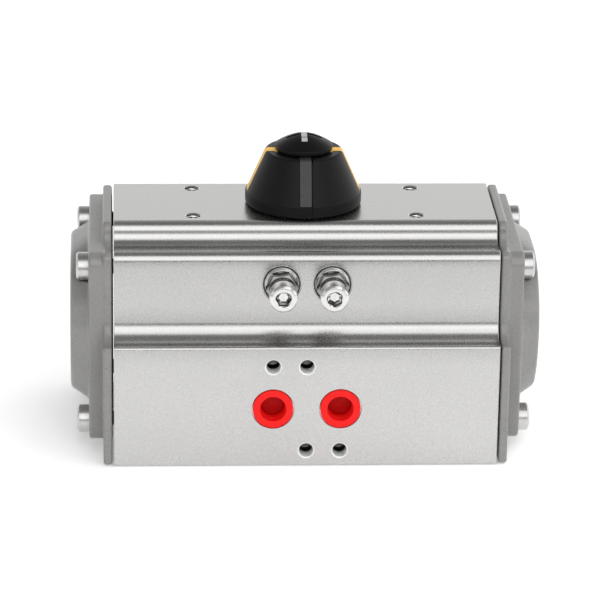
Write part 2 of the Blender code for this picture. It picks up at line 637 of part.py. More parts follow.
def end_cap(label, side):
    overlap = 0.5 * MM
    inner_flange = housing_outline(INNER_FLANGE_INSET)
    outer_flange = rounded_rectangle(OUTER_FLANGE_LOW, OUTER_FLANGE_HIGH, OUTER_FLANGE_CORNER)
    base = smooth_loop(mirrored_half(BOSS_BASE_HALF, MM), 2)
    tip = smooth_loop(mirrored_half(BOSS_TIP_HALF, MM), 2)
    inner_levels = span(side, CAP_START, INNER_FLANGE_END)
    outer_levels = span(side, INNER_FLANGE_END - overlap, OUTER_FLANGE_END)
    boss = [(base, OUTER_FLANGE_END - overlap), (base, OUTER_FLANGE_END), (tip, CAP_END)]
    cap = node(f"end_cap_{label}", "grey_paint", (prism, ALONG_X, inner_flange, *inner_levels))
    join(cap, "outer_flange", (prism, ALONG_X, outer_flange, *outer_levels))
    join(cap, "boss", (loft, ALONG_X, [(outline, side * x) for outline, x in boss]))
    recess = [
        (0, side * (CAP_START - MM)),
        (CAP_RECESS_RADIUS, side * (CAP_START - MM)),
        (CAP_RECESS_RADIUS, side * CAP_RECESS_END),
        (CAP_POCKET_RADIUS, side * CAP_RECESS_END),
        (CAP_POCKET_RADIUS, side * CAP_POCKET_END),
        (0, side * CAP_POCKET_END),
    ]
    cut(cap, "recess", (turned, ALONG_X, recess, 28, (0, BORE_Z)))
    cut(cap, "screw_holes", *[cap_screw_hole(place, side) for place in CAP_SCREWS])
    outer = seal_outline(SEAL_RADII[1] + GAP, SEAL_EAR_RADII[1] + GAP)
    inner = seal_outline(SEAL_RADII[0] - GAP, SEAL_EAR_RADII[0] - GAP)
    cut(cap, "seal_groove", (band, ALONG_X, outer, inner, *span(side, CAP_START - MM, SEAL_END + GAP)))
    inside_recess = (CHANNEL_Y * AIR_SLOT_START, BORE_Z + (CHANNEL_Z - BORE_Z) * AIR_SLOT_START)
    air_slot = capsule(inside_recess, (CHANNEL_Y, CHANNEL_Z), CHANNEL_RADIUS, CHANNEL_RADIUS)
    cut(cap, "air_slot", (prism, ALONG_X, air_slot, *span(side, CAP_START - MM, SEAL_END + 2 * MM)))
    node(
        f"end_cap_seal_{label}",
        "black_rubber",
        (
            band,
            ALONG_X,
            seal_outline(SEAL_RADII[1], SEAL_EAR_RADII[1]),
            seal_outline(SEAL_RADII[0], SEAL_EAR_RADII[0]),
            *span(side, HOUSING_LENGTH / 2 + GAP, SEAL_END),
        ),
    )


def cap_screw_hole(place, side):
    seat = CAP_SCREW_SEAT - GAP
    profile = [
        (0, side * (CAP_START - MM)),
        (M6_HOLE_RADIUS, side * (CAP_START - MM)),
        (M6_HOLE_RADIUS, side * seat),
        (SPOT_FACE_RADIUS, side * seat),
        (SPOT_FACE_RADIUS, side * (CAP_END + MM)),
        (0, side * (CAP_END + MM)),
    ]
    return turned, ALONG_X, profile, 12, place


def socket_screw(name, axis, centre, tip, seat, outward):
    """A cylinder-head screw with a hexagon socket. outward is the sign of the direction its head faces."""
    top = seat + outward * M6_HEAD_LENGTH
    chamfer = 0.5 * MM
    profile = [
        (0, tip),
        (M6_RADIUS - chamfer, tip),
        (M6_RADIUS, tip + outward * chamfer),
        (M6_RADIUS, seat),
        (M6_HEAD_RADIUS, seat),
        (M6_HEAD_RADIUS, top - outward * chamfer),
        (M6_HEAD_RADIUS - chamfer, top),
        (0, top),
    ]
    screw = node(name, "stainless_steel", (turned, axis, profile, 12, centre))
    key = [(centre[0] + a, centre[1] + b) for a, b in polygon(M6_KEY, 6, 0 if axis == ALONG_Y else 30)]
    levels = sorted((top - outward * M6_HEAD_LENGTH / 2, top + outward * MM))
    cut(screw, "key_socket", (prism, axis, key, *levels))
    return screw


def end_caps():
    for label, side in SIDES.items():
        end_cap(label, side)
        for number, place in enumerate(CAP_SCREWS, 1):
            tip, seat = side * CAP_SCREW_TIP, side * CAP_SCREW_SEAT
            socket_screw(f"end_cap_screw_{label}_{number}", ALONG_X, place, tip, seat, side)


# --- pistons ---


def piston(label, side):
    """The right piston's shape, turned half round about the drive axis for the left one."""

    def here(points):
        return [(side * a, side * b) for a, b in points]

    bore = (0, BORE_Z)
    ring_low, ring_high, ring_floor = WEAR_RING_GROOVE
    oring_low, oring_high, oring_floor = PISTON_ORING_GROOVE
    disc = [
        (0, PISTON_INNER_X),
        (PISTON_RADIUS, PISTON_INNER_X),
        (PISTON_RADIUS, ring_low),
        (ring_floor, ring_low),
        (ring_floor, ring_high),
        (PISTON_RADIUS, ring_high),
        (PISTON_RADIUS, oring_low),
        (oring_floor, oring_low),
        (oring_floor, oring_high),
        (PISTON_RADIUS, oring_high),
        (PISTON_RADIUS, PISTON_OUTER_X),
        (PISTON_RECESS_RADIUS, PISTON_OUTER_X),
        (PISTON_RECESS_RADIUS, PISTON_OUTER_X - PISTON_RECESS_DEPTH),
        (0, PISTON_OUTER_X - PISTON_RECESS_DEPTH),
    ]
    disc = [(radius, side * x) for radius, x in disc]
    body = node(f"piston_{label}", "die_cast_aluminium", (turned, ALONG_X, disc, BORE_SEGMENTS, bore))
    low, high = BORE_Z - RACK_HALF_HEIGHT, BORE_Z + RACK_HALF_HEIGHT
    join(body, "rack", (prism, ALONG_Z, here(rack_outline()), low, high))
    pocket = here(rectangle((PAD_LOW_X - GAP, -RACK_BACK_Y - MM), (PAD_HIGH_X + GAP, -PAD_FLOOR_Y)))
    pocket_half = PAD_HALF_HEIGHT + GAP
    cut(body, "pad_pocket", (prism, ALONG_Z, pocket, BORE_Z - pocket_half, BORE_Z + pocket_half))

    reach = math.degrees(math.asin(PAD_HALF_HEIGHT / PISTON_RADIUS))
    pad = arc((0, 0), PISTON_RADIUS, 180 - reach, 180 + reach, 8)
    pad += [(-PAD_FLOOR_Y - GAP, -PAD_HALF_HEIGHT), (-PAD_FLOOR_Y - GAP, PAD_HALF_HEIGHT)]
    pad = [(side * y, BORE_Z + z) for y, z in pad]
    guide = node(
        f"piston_guide_pad_{label}",
        "white_bearing_plastic",
        (prism, ALONG_X, pad, *span(side, PAD_LOW_X, PAD_HIGH_X)),
    )
    ring_radii = (ring_floor + GAP, PISTON_RADIUS)
    ring_levels = span(side, ring_low + GAP, ring_high - GAP)
    wear_ring = node(
        f"piston_wear_ring_{label}",
        "white_bearing_plastic",
        (flat_ring, ALONG_X, ring_radii, ring_levels, 24, bore),
    )
    oring_centre = PISTON_RADIUS - PISTON_ORING_RADIUS
    oring_x = side * (oring_low + oring_high) / 2
    oring = node(
        f"piston_oring_{label}",
        "black_rubber",
        (round_ring, ALONG_X, oring_centre, PISTON_ORING_RADIUS, oring_x, 24, 6, bore),
    )
    for obj in (guide, wear_ring, oring):
        origin_to(obj, (0, 0, BORE_Z))


# --- drive shaft ---


def grooved(radius, groove):
    """A groove's corners in a shaft's profile, going up."""
    low, high, floor = groove
    return [(radius, low), (floor, low), (floor, high), (radius, high)]


def shaft():
    chamfer = 0.5 * MM
    profile = [
        (0, SHAFT_LOW),
        (LOWER_JOURNAL_RADIUS - chamfer, SHAFT_LOW),
        (LOWER_JOURNAL_RADIUS, SHAFT_LOW + chamfer),
        *grooved(LOWER_JOURNAL_RADIUS, LOWER_ORING_GROOVE),
        (LOWER_JOURNAL_RADIUS, LOWER_JOURNAL_HIGH),
        (CORE_RADIUS, LOWER_JOURNAL_HIGH),
        (CORE_RADIUS, CAM_SEAT_HIGH - MM),
        (UPPER_JOURNAL_RADIUS, CAM_SEAT_HIGH - MM),
        *grooved(UPPER_JOURNAL_RADIUS, UPPER_ORING_GROOVE),
        *grooved(UPPER_JOURNAL_RADIUS, CIRCLIP_GROOVE),
        (UPPER_JOURNAL_RADIUS, UPPER_JOURNAL_HIGH),
        (0, UPPER_JOURNAL_HIGH),
    ]
    pinion = node("pinion_shaft", "plated_steel", (turned, ALONG_Z, profile, 24))
    join(pinion, "gear", (prism, ALONG_Z, gear_outline(), LOWER_JOURNAL_HIGH - MM, GEAR_HIGH))
    cam_seat = polygon(CAM_SEAT_FLATS, 8, 22.5)
    join(pinion, "cam_seat", (prism, ALONG_Z, cam_seat, GEAR_HIGH - MM, CAM_SEAT_HIGH))
    flats = double_flat(SHAFT_END_RADIUS, SHAFT_END_FLATS)
    join(pinion, "accessory_end", (prism, ALONG_Z, flats, UPPER_JOURNAL_HIGH - MM, SHAFT_HIGH))
    cut(pinion, "stem_socket", (prism, ALONG_Z, socket_outline(), SHAFT_LOW - MM, SHAFT_LOW + SOCKET_DEPTH))
    thread = round_hole(ALONG_Z, (0, 0), SHAFT_THREAD_RADIUS, SHAFT_THREAD_LOW, SHAFT_HIGH + MM)
    cut(pinion, "thread", thread)


def shaft_rings():
    for label, groove, hole_radius in (
        ("lower", LOWER_ORING_GROOVE, LOWER_HOLE_RADIUS),
        ("upper", UPPER_ORING_GROOVE, UPPER_HOLE_RADIUS),
    ):
        low, high, floor = groove
        wire = (hole_radius - floor) / 2 - GAP
        ring = (round_ring, ALONG_Z, (hole_radius + floor) / 2, wire, (low + high) / 2)
        node(f"shaft_oring_{label}", "black_rubber", ring)
    for label, levels, radius, hole_radius in (
        ("lower", LOWER_BUSH, LOWER_JOURNAL_RADIUS, LOWER_HOLE_RADIUS),
        ("upper", UPPER_BUSH, UPPER_JOURNAL_RADIUS, UPPER_HOLE_RADIUS),
    ):
        bush = (flat_ring, ALONG_Z, (radius + GAP, hole_radius - GAP), levels)
        node(f"shaft_bush_{label}", "white_bearing_plastic", bush)
    bore = UPPER_JOURNAL_RADIUS + GAP
    bearing = (flat_ring, ALONG_Z, (bore, THRUST_BEARING_RADIUS), THRUST_BEARING_LEVELS)
    node("thrust_bearing", "white_bearing_plastic", bearing)
    washer = (flat_ring, ALONG_Z, (bore, THRUST_WASHER_RADIUS), THRUST_WASHER_LEVELS)
    node("thrust_washer", "stainless_steel", washer)
    start, end = CIRCLIP_OPENING, 360 - CIRCLIP_OPENING
    open_ring = arc((0, 0), CIRCLIP_RADIUS, start, end, CIRCLIP_STEPS)
    open_ring += arc((0, 0), CIRCLIP_GROOVE[2] + GAP, end, start, CIRCLIP_STEPS)
    node("circlip", "plated_steel", (prism, ALONG_Z, open_ring, *CIRCLIP_LEVELS))


def travel_stop():
    cam = node("travel_stop_cam", "plated_steel", (prism, ALONG_Z, cam_outline(), CAM_LOW, CAM_HIGH))
    bore = polygon(CAM_SEAT_FLATS + 2 * GAP, 8, 22.5)
    cut(cam, "bore", (prism, ALONG_Z, bore, CAM_LOW - MM, CAM_HIGH + MM))
    for label, side in SIDES.items():
        adjuster(label, (side * ADJUSTER_X, ADJUSTER_Z))


def adjuster(label, centre):
    place = (centre[0], 0, centre[1])
    screw = socket_screw(f"adjuster_screw_{label}", ALONG_Y, centre, ADJUSTER_TIP_Y, ADJUSTER_HEAD_Y, -1)
    hexagon = [(centre[0] + a, centre[1] + b) for a, b in polygon(NUT_FLATS, 6)]
    nut = node(f"adjuster_nut_{label}", "stainless_steel", (prism, ALONG_Y, hexagon, *NUT_Y))
    cut(nut, "thread", round_hole(ALONG_Y, centre, SCREW_HOLE_RADIUS, NUT_Y[0] - MM, NUT_Y[1] + MM))
    radii = (SCREW_HOLE_RADIUS, ADJUSTER_WASHER_RADIUS)
    washer = (flat_ring, ALONG_Y, radii, ADJUSTER_WASHER_Y, 20, centre)
    node(f"adjuster_washer_{label}", "stainless_steel", washer)
    seat_middle = (ADJUSTER_RECESS_Y + ADJUSTER_ORING_SEAT_Y) / 2
    wire = ADJUSTER_ORING_WIRE
    oring = (round_ring, ALONG_Y, ADJUSTER_ORING_RADIUS, wire, seat_middle, 16, 6, centre)
    node(f"adjuster_oring_{label}", "black_rubber", oring)
    for obj in (screw, nut):
        helper = obj.modifiers[0].object
        origin_to(obj, place)
        origin_to(helper, place)


# --- indicator ---


def cone_radius(z, inside=0):
    """The indicator's outer radius at a height, less a distance into its wall."""
    share = (z - INDICATOR_BAND) / (INDICATOR_TOP - INDICATOR_BAND)
    return INDICATOR_BASE_RADIUS + (INDICATOR_TOP_RADIUS - INDICATOR_BASE_RADIUS) * share - inside


def indicator_housing():
    edge = 0.7 * MM
    roof = INDICATOR_TOP - INDICATOR_WALL
    profile = [
        (INDICATOR_BASE_RADIUS - INDICATOR_WALL, INDICATOR_LOW),
        (INDICATOR_BASE_RADIUS - edge, INDICATOR_LOW),
        (INDICATOR_BASE_RADIUS, INDICATOR_LOW + edge),
        (INDICATOR_BASE_RADIUS, INDICATOR_BAND),
        (cone_radius(INDICATOR_TOP - edge), INDICATOR_TOP - edge),
        (cone_radius(INDICATOR_TOP - edge, edge), INDICATOR_TOP),
        (INDICATOR_HUB_RADIUS - 2 * MM, INDICATOR_TOP),
        (INDICATOR_HUB_RADIUS - 2 * MM, INDICATOR_HUB_LOW),
        (INDICATOR_HUB_RADIUS, INDICATOR_HUB_LOW),
        (INDICATOR_HUB_RADIUS, roof),
        (cone_radius(roof, INDICATOR_WALL), roof),
        (cone_radius(INDICATOR_BAND, INDICATOR_WALL), INDICATOR_BAND),
    ]
    housing_node = node("indicator_housing", "black_plastic", (turned, ALONG_Z, profile, 36))
    for number, (radial_axis, direction) in enumerate(((0, 1), (0, -1), (1, 1), (1, -1)), 1):
        slot = insert_outline(INSERT_THICKNESS + GAP, 2 * MM, GAP)
        half = INSERT_WIDTH / 2 + GAP
        cut(housing_node, f"insert_slot_{number}", (radial_slab, slot, half, radial_axis, direction))


def insert_outline(thickness, outside, margin):
    """An insert's section in (radius, z): it lies over the platform's rim and down the cone."""
    top, low = INDICATOR_TOP + outside, INDICATOR_BAND + INSERT_FOOT - margin
    inner = INSERT_INNER_RADIUS - margin
    bend = cone_radius(INDICATOR_TOP, INSERT_BEND)
    rim = INDICATOR_TOP - INSERT_BEND
    return [
        (inner, INDICATOR_TOP - thickness),
        (inner, top),
        (bend + outside, top),
        (cone_radius(rim) + outside, rim + outside),
        (cone_radius(low) + outside, low),
        (cone_radius(low, thickness), low),
        (cone_radius(INDICATOR_TOP - thickness, thickness), INDICATOR_TOP - thickness),
    ]


def radial_slab(bm, section, half_width, radial_axis, direction):
    """A slab whose section lies in (radius, z) and whose width runs across the radius."""
    outline = [(direction * radius, z) for radius, z in section]
    across = ALONG_Y if radial_axis == 0 else ALONG_X
    prism(bm, across, outline, -half_width, half_width)


def indicator():
    indicator_housing()
    section = insert_outline(INSERT_THICKNESS, 0, 0)
    for name, finish, radial_axis, direction in (
        ("indicator_insert_yellow_left", "yellow_plastic", 0, -1),
        ("indicator_insert_yellow_right", "yellow_plastic", 0, 1),
        ("indicator_insert_black_front", "black_plastic", 1, -1),
        ("indicator_insert_black_rear", "black_plastic", 1, 1),
    ):
        node(name, finish, (radial_slab, section, INSERT_WIDTH / 2, radial_axis, direction))
    shares = [1 - i / DOME_RINGS for i in range(DOME_RINGS + 1)]
    rise = DOME_APEX - DOME_SHOULDER
    profile = [
        (0, DOME_STUD_LOW),
        (DOME_STUD_RADIUS, DOME_STUD_LOW),
        (DOME_STUD_RADIUS, DOME_LOW),
        (DOME_FOOT_RADIUS, DOME_LOW),
        (DOME_RADIUS, DOME_LOW + 0.3 * MM),
    ]
    profile += [(DOME_RADIUS * share, DOME_APEX - rise * share**DOME_FALL) for share in shares]
    screw = node("indicator_screw", "black_plastic", (turned, ALONG_Z, profile, 24))
    reach = DOME_RADIUS + MM
    half = DOME_SLOT_WIDTH / 2
    slot = rectangle((-reach, -half), (reach, half))
    cut(screw, "driver_slot", (prism, ALONG_Z, slot, DOME_SLOT_FLOOR, DOME_APEX + MM))


# --- port plugs ---


def port_plugs():
    floor = PLUG_BACK_Y - PLUG_FLOOR
    for label, side in SIDES.items():
        centre = (side * PORT_X, PORT_Z)
        profile = [
            (0, PLUG_BACK_Y),
            (PLUG_BODY_RADIUS, PLUG_BACK_Y),
            (PLUG_BODY_RADIUS, PLUG_RIM_BACK_Y),
            (PLUG_RIM_RADIUS, PLUG_RIM_BACK_Y),
            (PLUG_RIM_RADIUS, PLUG_FRONT_Y),
            (PLUG_HOLLOW_RADIUS, PLUG_FRONT_Y),
            (PLUG_HOLLOW_RADIUS, floor),
            (0, floor),
        ]
        plug = node(f"port_plug_{label}", "red_plastic", (turned, ALONG_Y, profile, 20, centre))
        origin_to(plug, (centre[0], FRONT_FACE_Y, centre[1]))


def build():
    clear_scene()
    drive_axis = bpy.data.objects.new("drive_axis", None)
    bpy.context.scene.collection.objects.link(drive_axis)
    drive_axis.location = (0, -FOOTPRINT_CENTRE_Y, 0)
    housing()
    end_caps()
    for label, side in SIDES.items():
        piston(label, side)
    shaft()
    shaft_rings()
    travel_stop()
    indicator()
    port_plugs()


build()
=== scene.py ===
"""Looks of the rotary pneumatic actuator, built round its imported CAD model.

Lengths are millimetres in the actuator's own frame: x and y are 0 on the drive axis, z is 0 on the face
that bolts to the valve, X runs along the bore and -Y is the front. A piece that is turned on an axis is
built round its own local Z, with its origin on that axis.
"""

import itertools
import json
import math

import bmesh
import bpy
import numpy as np
from mathutils import Matrix, Vector


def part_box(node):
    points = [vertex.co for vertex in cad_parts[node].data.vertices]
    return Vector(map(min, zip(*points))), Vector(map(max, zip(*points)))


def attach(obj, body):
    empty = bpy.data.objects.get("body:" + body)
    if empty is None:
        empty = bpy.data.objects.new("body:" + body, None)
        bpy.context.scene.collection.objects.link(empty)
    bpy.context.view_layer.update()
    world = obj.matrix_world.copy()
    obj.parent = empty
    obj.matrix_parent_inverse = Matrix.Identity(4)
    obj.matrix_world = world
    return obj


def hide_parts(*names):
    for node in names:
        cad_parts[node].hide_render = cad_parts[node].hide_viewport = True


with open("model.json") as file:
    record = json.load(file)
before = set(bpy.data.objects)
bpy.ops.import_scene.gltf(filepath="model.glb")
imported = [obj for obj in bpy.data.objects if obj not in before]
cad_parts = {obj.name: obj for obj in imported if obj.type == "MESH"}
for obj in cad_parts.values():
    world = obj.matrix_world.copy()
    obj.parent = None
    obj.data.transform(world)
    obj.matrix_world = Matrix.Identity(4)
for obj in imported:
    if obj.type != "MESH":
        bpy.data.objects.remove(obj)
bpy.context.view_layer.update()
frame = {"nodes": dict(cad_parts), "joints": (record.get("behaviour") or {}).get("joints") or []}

MM = 0.001
DRIVE_TURN = next(joint for joint in frame["joints"] if joint["name"] == "drive_turn")
DRIVE_AXIS = Vector((*DRIVE_TURN["pos_m"][:2], 0))
SIDES = {"left": -1, "right": 1}
CAP_SCREWS = [(label, side, number) for label, side in SIDES.items() for number in range(1, 5)]
CLEAR = 1  # how far outside a surface its cutters start

# Each direction's local x, y and z axes for a piece that is built round its own Z.
FACING = {
    "up": ((1, 0, 0), (0, 1, 0), (0, 0, 1)),
    "down": ((1, 0, 0), (0, -1, 0), (0, 0, -1)),
    "front": ((1, 0, 0), (0, 0, 1), (0, -1, 0)),
    "right": ((0, 1, 0), (0, 0, 1), (1, 0, 0)),
    "left": ((0, -1, 0), (0, 0, 1), (-1, 0, 0)),
}


def extent(node):
    """A CAD node's lowest and highest corners in the actuator's own frame."""
    low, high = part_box(node)
    return (low - DRIVE_AXIS) / MM, (high - DRIVE_AXIS) / MM


def centre(node):
    low, high = extent(node)
    return (low + high) / 2


# --- outlines: lists of (a, b) points ---


def arc(middle, radius, start, end, step=9):
    """Points round a middle from one angle in degrees to another, both ends included."""
    steps = max(1, math.ceil(abs(end - start) / step))
    angles = [math.radians(start + (end - start) * i / steps) for i in range(steps + 1)]
    return [(middle[0] + radius * math.cos(a), middle[1] + radius * math.sin(a)) for a in angles]


def rounded(corners, closed=True, step=12):
    """The outline through (a, b) or (a, b, radius) corners, with an arc at each that has a radius."""
    outline, count = [], len(corners)
    for i, corner in enumerate(corners):
        here = Vector(corner[:2])
        radius = corner[2] if len(corner) > 2 else 0
        if not radius or (not closed and i in (0, count - 1)):
            outline.append(tuple(here))
            continue
        back = (Vector(corners[i - 1][:2]) - here).normalized()
        on = (Vector(corners[(i + 1) % count][:2]) - here).normalized()
        between = back.angle(on)
        if between > math.pi - 0.01:
            outline.append(tuple(here))
            continue
        middle = here + (back + on).normalized() * radius / math.sin(between / 2)
        first = here + back * radius / math.tan(between / 2) - middle
        last = here + on * radius / math.tan(between / 2) - middle
        start = math.degrees(math.atan2(first.y, first.x))
        sweep = math.degrees(math.atan2(first.x * last.y - first.y * last.x, first.dot(last)))
        outline += arc(middle, radius, start, start + sweep, step)
    return outline


def hexagon(flats, turn=0):
    return arc((0, 0), flats / math.sqrt(3), turn, turn + 300, 60)


def inward(outline, distance):
    """The outline moved to its left by a distance, for one that runs anticlockwise."""
    shifted, count = [], len(outline)
    for i, here in enumerate(outline):
        point = Vector(here)
        into = (point - Vector(outline[i - 1])).normalized()
        out_of = (Vector(outline[(i + 1) % count]) - point).normalized()
        heading = (into + out_of).normalized()
        stretch = distance / max(0.5, heading.dot(into))
        shifted.append((point.x - heading.y * stretch, point.y + heading.x * stretch))
    return shifted


# --- shells: (points, faces) in millimetres round local Z ---


def merged(*shells):
    points, faces = [], []
    for some_points, some_faces in shells:
        start = len(points)
        points += some_points
        faces += [[start + i for i in face] for face in some_faces]
    return points, faces


def stacked(sections):
    """A closed shell through outlines with equally many points, each given with its level."""
    points, faces = [], []
    count = len(sections[0][0])
    for outline, level in sections:
        points += [(a, b, level) for a, b in outline]
    for k in range(len(sections) - 1):
        low, high = k * count, (k + 1) * count
        for i in range(count):
            j = (i + 1) % count
            faces.append([low + i, low + j, high + j, high + i])
    faces.append(list(range(count - 1, -1, -1)))
    faces.append(list(range(len(points) - count, len(points))))
    return points, faces


def prism(outline, low, high):
    return stacked([(outline, low), (outline, high)])


def thread_wave(turns):
    """From 0 on a thread's crest to 1 in its root."""
    share = turns % 1
    return min(1, max(0, 1.25 * (1 - abs(2 * share - 1)) - 0.125))


def turned(profile, segments=48, pitch=1):
    """A turned shell from (radius, level) points, closed on itself or run from axis to axis.

    A third number is how deep a thread is cut there. In a cutter it is negative, and cuts outward.
    """
    points, faces, rings = [], [], []
    for entry in profile:
        radius, level = entry[:2]
        depth = entry[2] if len(entry) > 2 else 0
        if radius < 1e-6:
            rings.append([len(points)] * segments)
            points.append((0, 0, level))
            continue
        rings.append(list(range(len(points), len(points) + segments)))
        for i in range(segments):
            angle = 2 * math.pi * i / segments
            here = radius
            if depth:
                here -= depth * thread_wave(level / pitch - i / segments)
            points.append((here * math.cos(angle), here * math.sin(angle), level))
    pairs = list(zip(rings, rings[1:]))
    if profile[0][0] > 1e-6:
        pairs.append((rings[-1], rings[0]))
    for low, high in pairs:
        for i in range(segments):
            j = (i + 1) % segments
            face = [low[i], low[j], high[j], high[i]]
            face = [v for k, v in enumerate(face) if v not in face[:k]]
            if len(face) > 2:
                faces.append(face)
    return points, faces


def thread(radius, depth, low, high, pitch, rows_per_turn=8):
    """Profile rows for a threaded stretch, with its depth fading in and out over a turn."""
    count = max(2, round((high - low) / pitch * rows_per_turn))
    rows = []
    for i in range(count + 1):
        level = low + (high - low) * i / count
        fade = min(1, (level - low) / pitch, (high - level) / pitch)
        rows.append((radius, level, depth * max(0, fade)))
    return rows


# --- objects ---


def as_mesh(name, shell, *materials):
    points, faces = shell
    mesh = bpy.data.meshes.new(name)
    mesh.from_pydata([Vector(p) * MM for p in points], [], faces)
    bm = bmesh.new()
    bm.from_mesh(mesh)
    bmesh.ops.recalc_face_normals(bm, faces=bm.faces)
    bm.to_mesh(mesh)
    bm.free()
    for material in materials:
        mesh.materials.append(material)
    return mesh


def linked(name, data):
    obj = bpy.data.objects.new(name, data)
    bpy.context.scene.collection.objects.link(obj)
    return obj


def placed(name, mesh, origin=(0, 0, 0), facing="up", turn=0):
    """An object whose local Z points one way, turned by an angle in degrees about it."""
    obj = linked(name, mesh)
    axes = Matrix(FACING[facing]).transposed().to_4x4()
    spot = Matrix.Translation(DRIVE_AXIS + Vector(origin) * MM)
    obj.matrix_world = spot @ axes @ Matrix.Rotation(math.radians(turn), 4, "Z")
    return obj


def applied(obj):
    """The object's mesh with its modifiers applied. The object is removed."""
    graph = bpy.context.evaluated_depsgraph_get()
    mesh = bpy.data.meshes.new_from_object(obj.evaluated_get(graph), depsgraph=graph)
    mesh.name = obj.data.name
    bpy.data.objects.remove(obj)
    return mesh


def combined(mesh, operation, *others):
    """The mesh after a Boolean with each of the others, all in the same local frame."""
    for other in others:
        base, tool = linked("base", mesh), linked("tool", other)
        tool.hide_render = True
        modifier = base.modifiers.new("cut", "BOOLEAN")
        modifier.operation = operation
        modifier.object = tool
        modifier.solver = "EXACT"
        modifier.material_mode = "TRANSFER"
        mesh = applied(base)
        bpy.data.objects.remove(tool)
    return mesh


def shade(mesh, angle=32):
    mesh.shade_smooth()
    mesh.set_sharp_from_angle(angle=math.radians(angle))


def finish_piece(obj, body, slot, *nodes, weighted=True):
    """Makes an object a piece that rides on a body and stands for CAD nodes."""
    if weighted:
        modifier = obj.modifiers.new("weighted_normals", "WEIGHTED_NORMAL")
        modifier.keep_sharp = True
        modifier.weight = 60
    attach(obj, body)
    if nodes:
        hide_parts(*nodes)


# --- materials ---


def texture_point(tree):
    return tree.nodes.new("ShaderNodeTexCoord").outputs["Object"]


def noise(tree, point, size, detail=2, roughness=0.5):
    """Noise whose features are about that many millimetres across."""
    node = tree.nodes.new("ShaderNodeTexNoise")
    node.inputs["Scale"].default_value = 1 / (size * MM)
    node.inputs["Detail"].default_value = detail
    node.inputs["Roughness"].default_value = roughness
    tree.links.new(point, node.inputs["Vector"])
    return node.outputs["Fac"]


def grey(level):
    return (level, level, level)


def ramp(tree, value, *stops):
    """A value's colour ramp from (position, colour or grey) stops."""
    node = tree.nodes.new("ShaderNodeValToRGB")
    elements = node.color_ramp.elements
    while len(elements) < len(stops):
        elements.new(0.5)
    for element, (position, colour) in zip(elements, stops):
        element.position = position
        rgb = grey(colour) if isinstance(colour, (int, float)) else colour
        element.color = (*rgb, 1)
    tree.links.new(value, node.inputs["Fac"])
    return node.outputs["Color"]


def mapped(tree, value, start, end, low=0, high=1):
    """A value from start to end, spread over low to high."""
    node = tree.nodes.new("ShaderNodeMapRange")
    limits = {"From Min": start, "From Max": end, "To Min": low, "To Max": high}
    for socket, limit in limits.items():
        node.inputs[socket].default_value = limit
    tree.links.new(value, node.inputs["Value"])
    return node.outputs["Result"]


def bump(tree, height, depth):
    """The normal bent by a height, with a depth in millimetres."""
    node = tree.nodes.new("ShaderNodeBump")
    node.inputs["Distance"].default_value = depth * MM
    tree.links.new(height, node.inputs["Height"])
    return node.outputs["Normal"]


def computed(tree, operation, *values):
    node = tree.nodes.new("ShaderNodeMath")
    node.operation = operation
    for socket, value in zip(node.inputs, values):
        tree.links.new(value, socket)
    return node.outputs[0]


def blended(tree, first, second, share):
    node = tree.nodes.new("ShaderNodeMix")
    node.inputs["Factor"].default_value = share
    tree.links.new(first, node.inputs[2])
    tree.links.new(second, node.inputs[3])
    return node.outputs[0]


def tinted(colour, factor):
    return tuple(min(1, c * factor) for c in colour)


def new_material(name, **constants):
    """A material and its Principled shader, with constant socket values given by name."""
    made = bpy.data.materials.new(name)
    made.use_nodes = True
    shader = made.node_tree.nodes["Principled BSDF"]
    for socket, value in constants.items():
        shader.inputs[socket.replace("_", " ")].default_value = value
    return made, shader


NOISE_LOW, NOISE_HIGH = 0.3, 0.7  # where most of a noise's values lie


def grained(name, colour, roughness, grain, depth, contrast, patches, **constants):
    """A blasted, cast or moulded surface: fine grain, a little patchiness in colour and in gloss."""
    made, shader = new_material(name, **constants)
    tree = made.node_tree
    point = texture_point(tree)
    fine = noise(tree, point, grain, 3, 0.6)
    mixed = blended(tree, fine, noise(tree, point, patches, 3), 0.35)
    dark, light = tinted(colour, 1 - contrast), tinted(colour, 1 + contrast)
    tones = ramp(tree, mixed, (NOISE_LOW, dark), (NOISE_HIGH, light))
    gloss = mapped(tree, mixed, NOISE_LOW, NOISE_HIGH, roughness - 0.04, roughness + 0.04)
    tree.links.new(tones, shader.inputs["Base Color"])
    tree.links.new(gloss, shader.inputs["Roughness"])
    tree.links.new(bump(tree, fine, depth), shader.inputs["Normal"])
    return made


def lathed(name, colour, roughness, ring=0.12, depth=0.004):
    """Machined metal with turning marks round the piece's own Z axis."""
    made, shader = new_material(name, Metallic=1)
    tree = made.node_tree
    point = texture_point(tree)
    apart = tree.nodes.new("ShaderNodeSeparateXYZ")
    tree.links.new(point, apart.inputs["Vector"])
    squares = [computed(tree, "MULTIPLY", apart.outputs[axis], apart.outputs[axis]) for axis in "XY"]
    radius = computed(tree, "SQRT", computed(tree, "ADD", *squares))
    polar = tree.nodes.new("ShaderNodeCombineXYZ")
    tree.links.new(radius, polar.inputs["X"])
    tree.links.new(apart.outputs["Z"], polar.inputs["Y"])
    marks = noise(tree, polar.outputs["Vector"], ring)
    stains = noise(tree, point, 2.5, 3)
    dark, light = tinted(colour, 0.92), tinted(colour, 1.05)
    tones = ramp(tree, stains, (NOISE_LOW, dark), (NOISE_HIGH, light))
    gloss = mapped(tree, marks, NOISE_LOW, NOISE_HIGH, roughness - 0.05, roughness + 0.07)
    tree.links.new(tones, shader.inputs["Base Color"])
    tree.links.new(gloss, shader.inputs["Roughness"])
    tree.links.new(bump(tree, marks, depth), shader.inputs["Normal"])
    return made


def plastic(name, colour, roughness, grain, depth, contrast, patches, gloss=0.5):
    return grained(
        name, colour, roughness, grain, depth, contrast, patches, Metallic=0, Specular_IOR_Level=gloss
    )


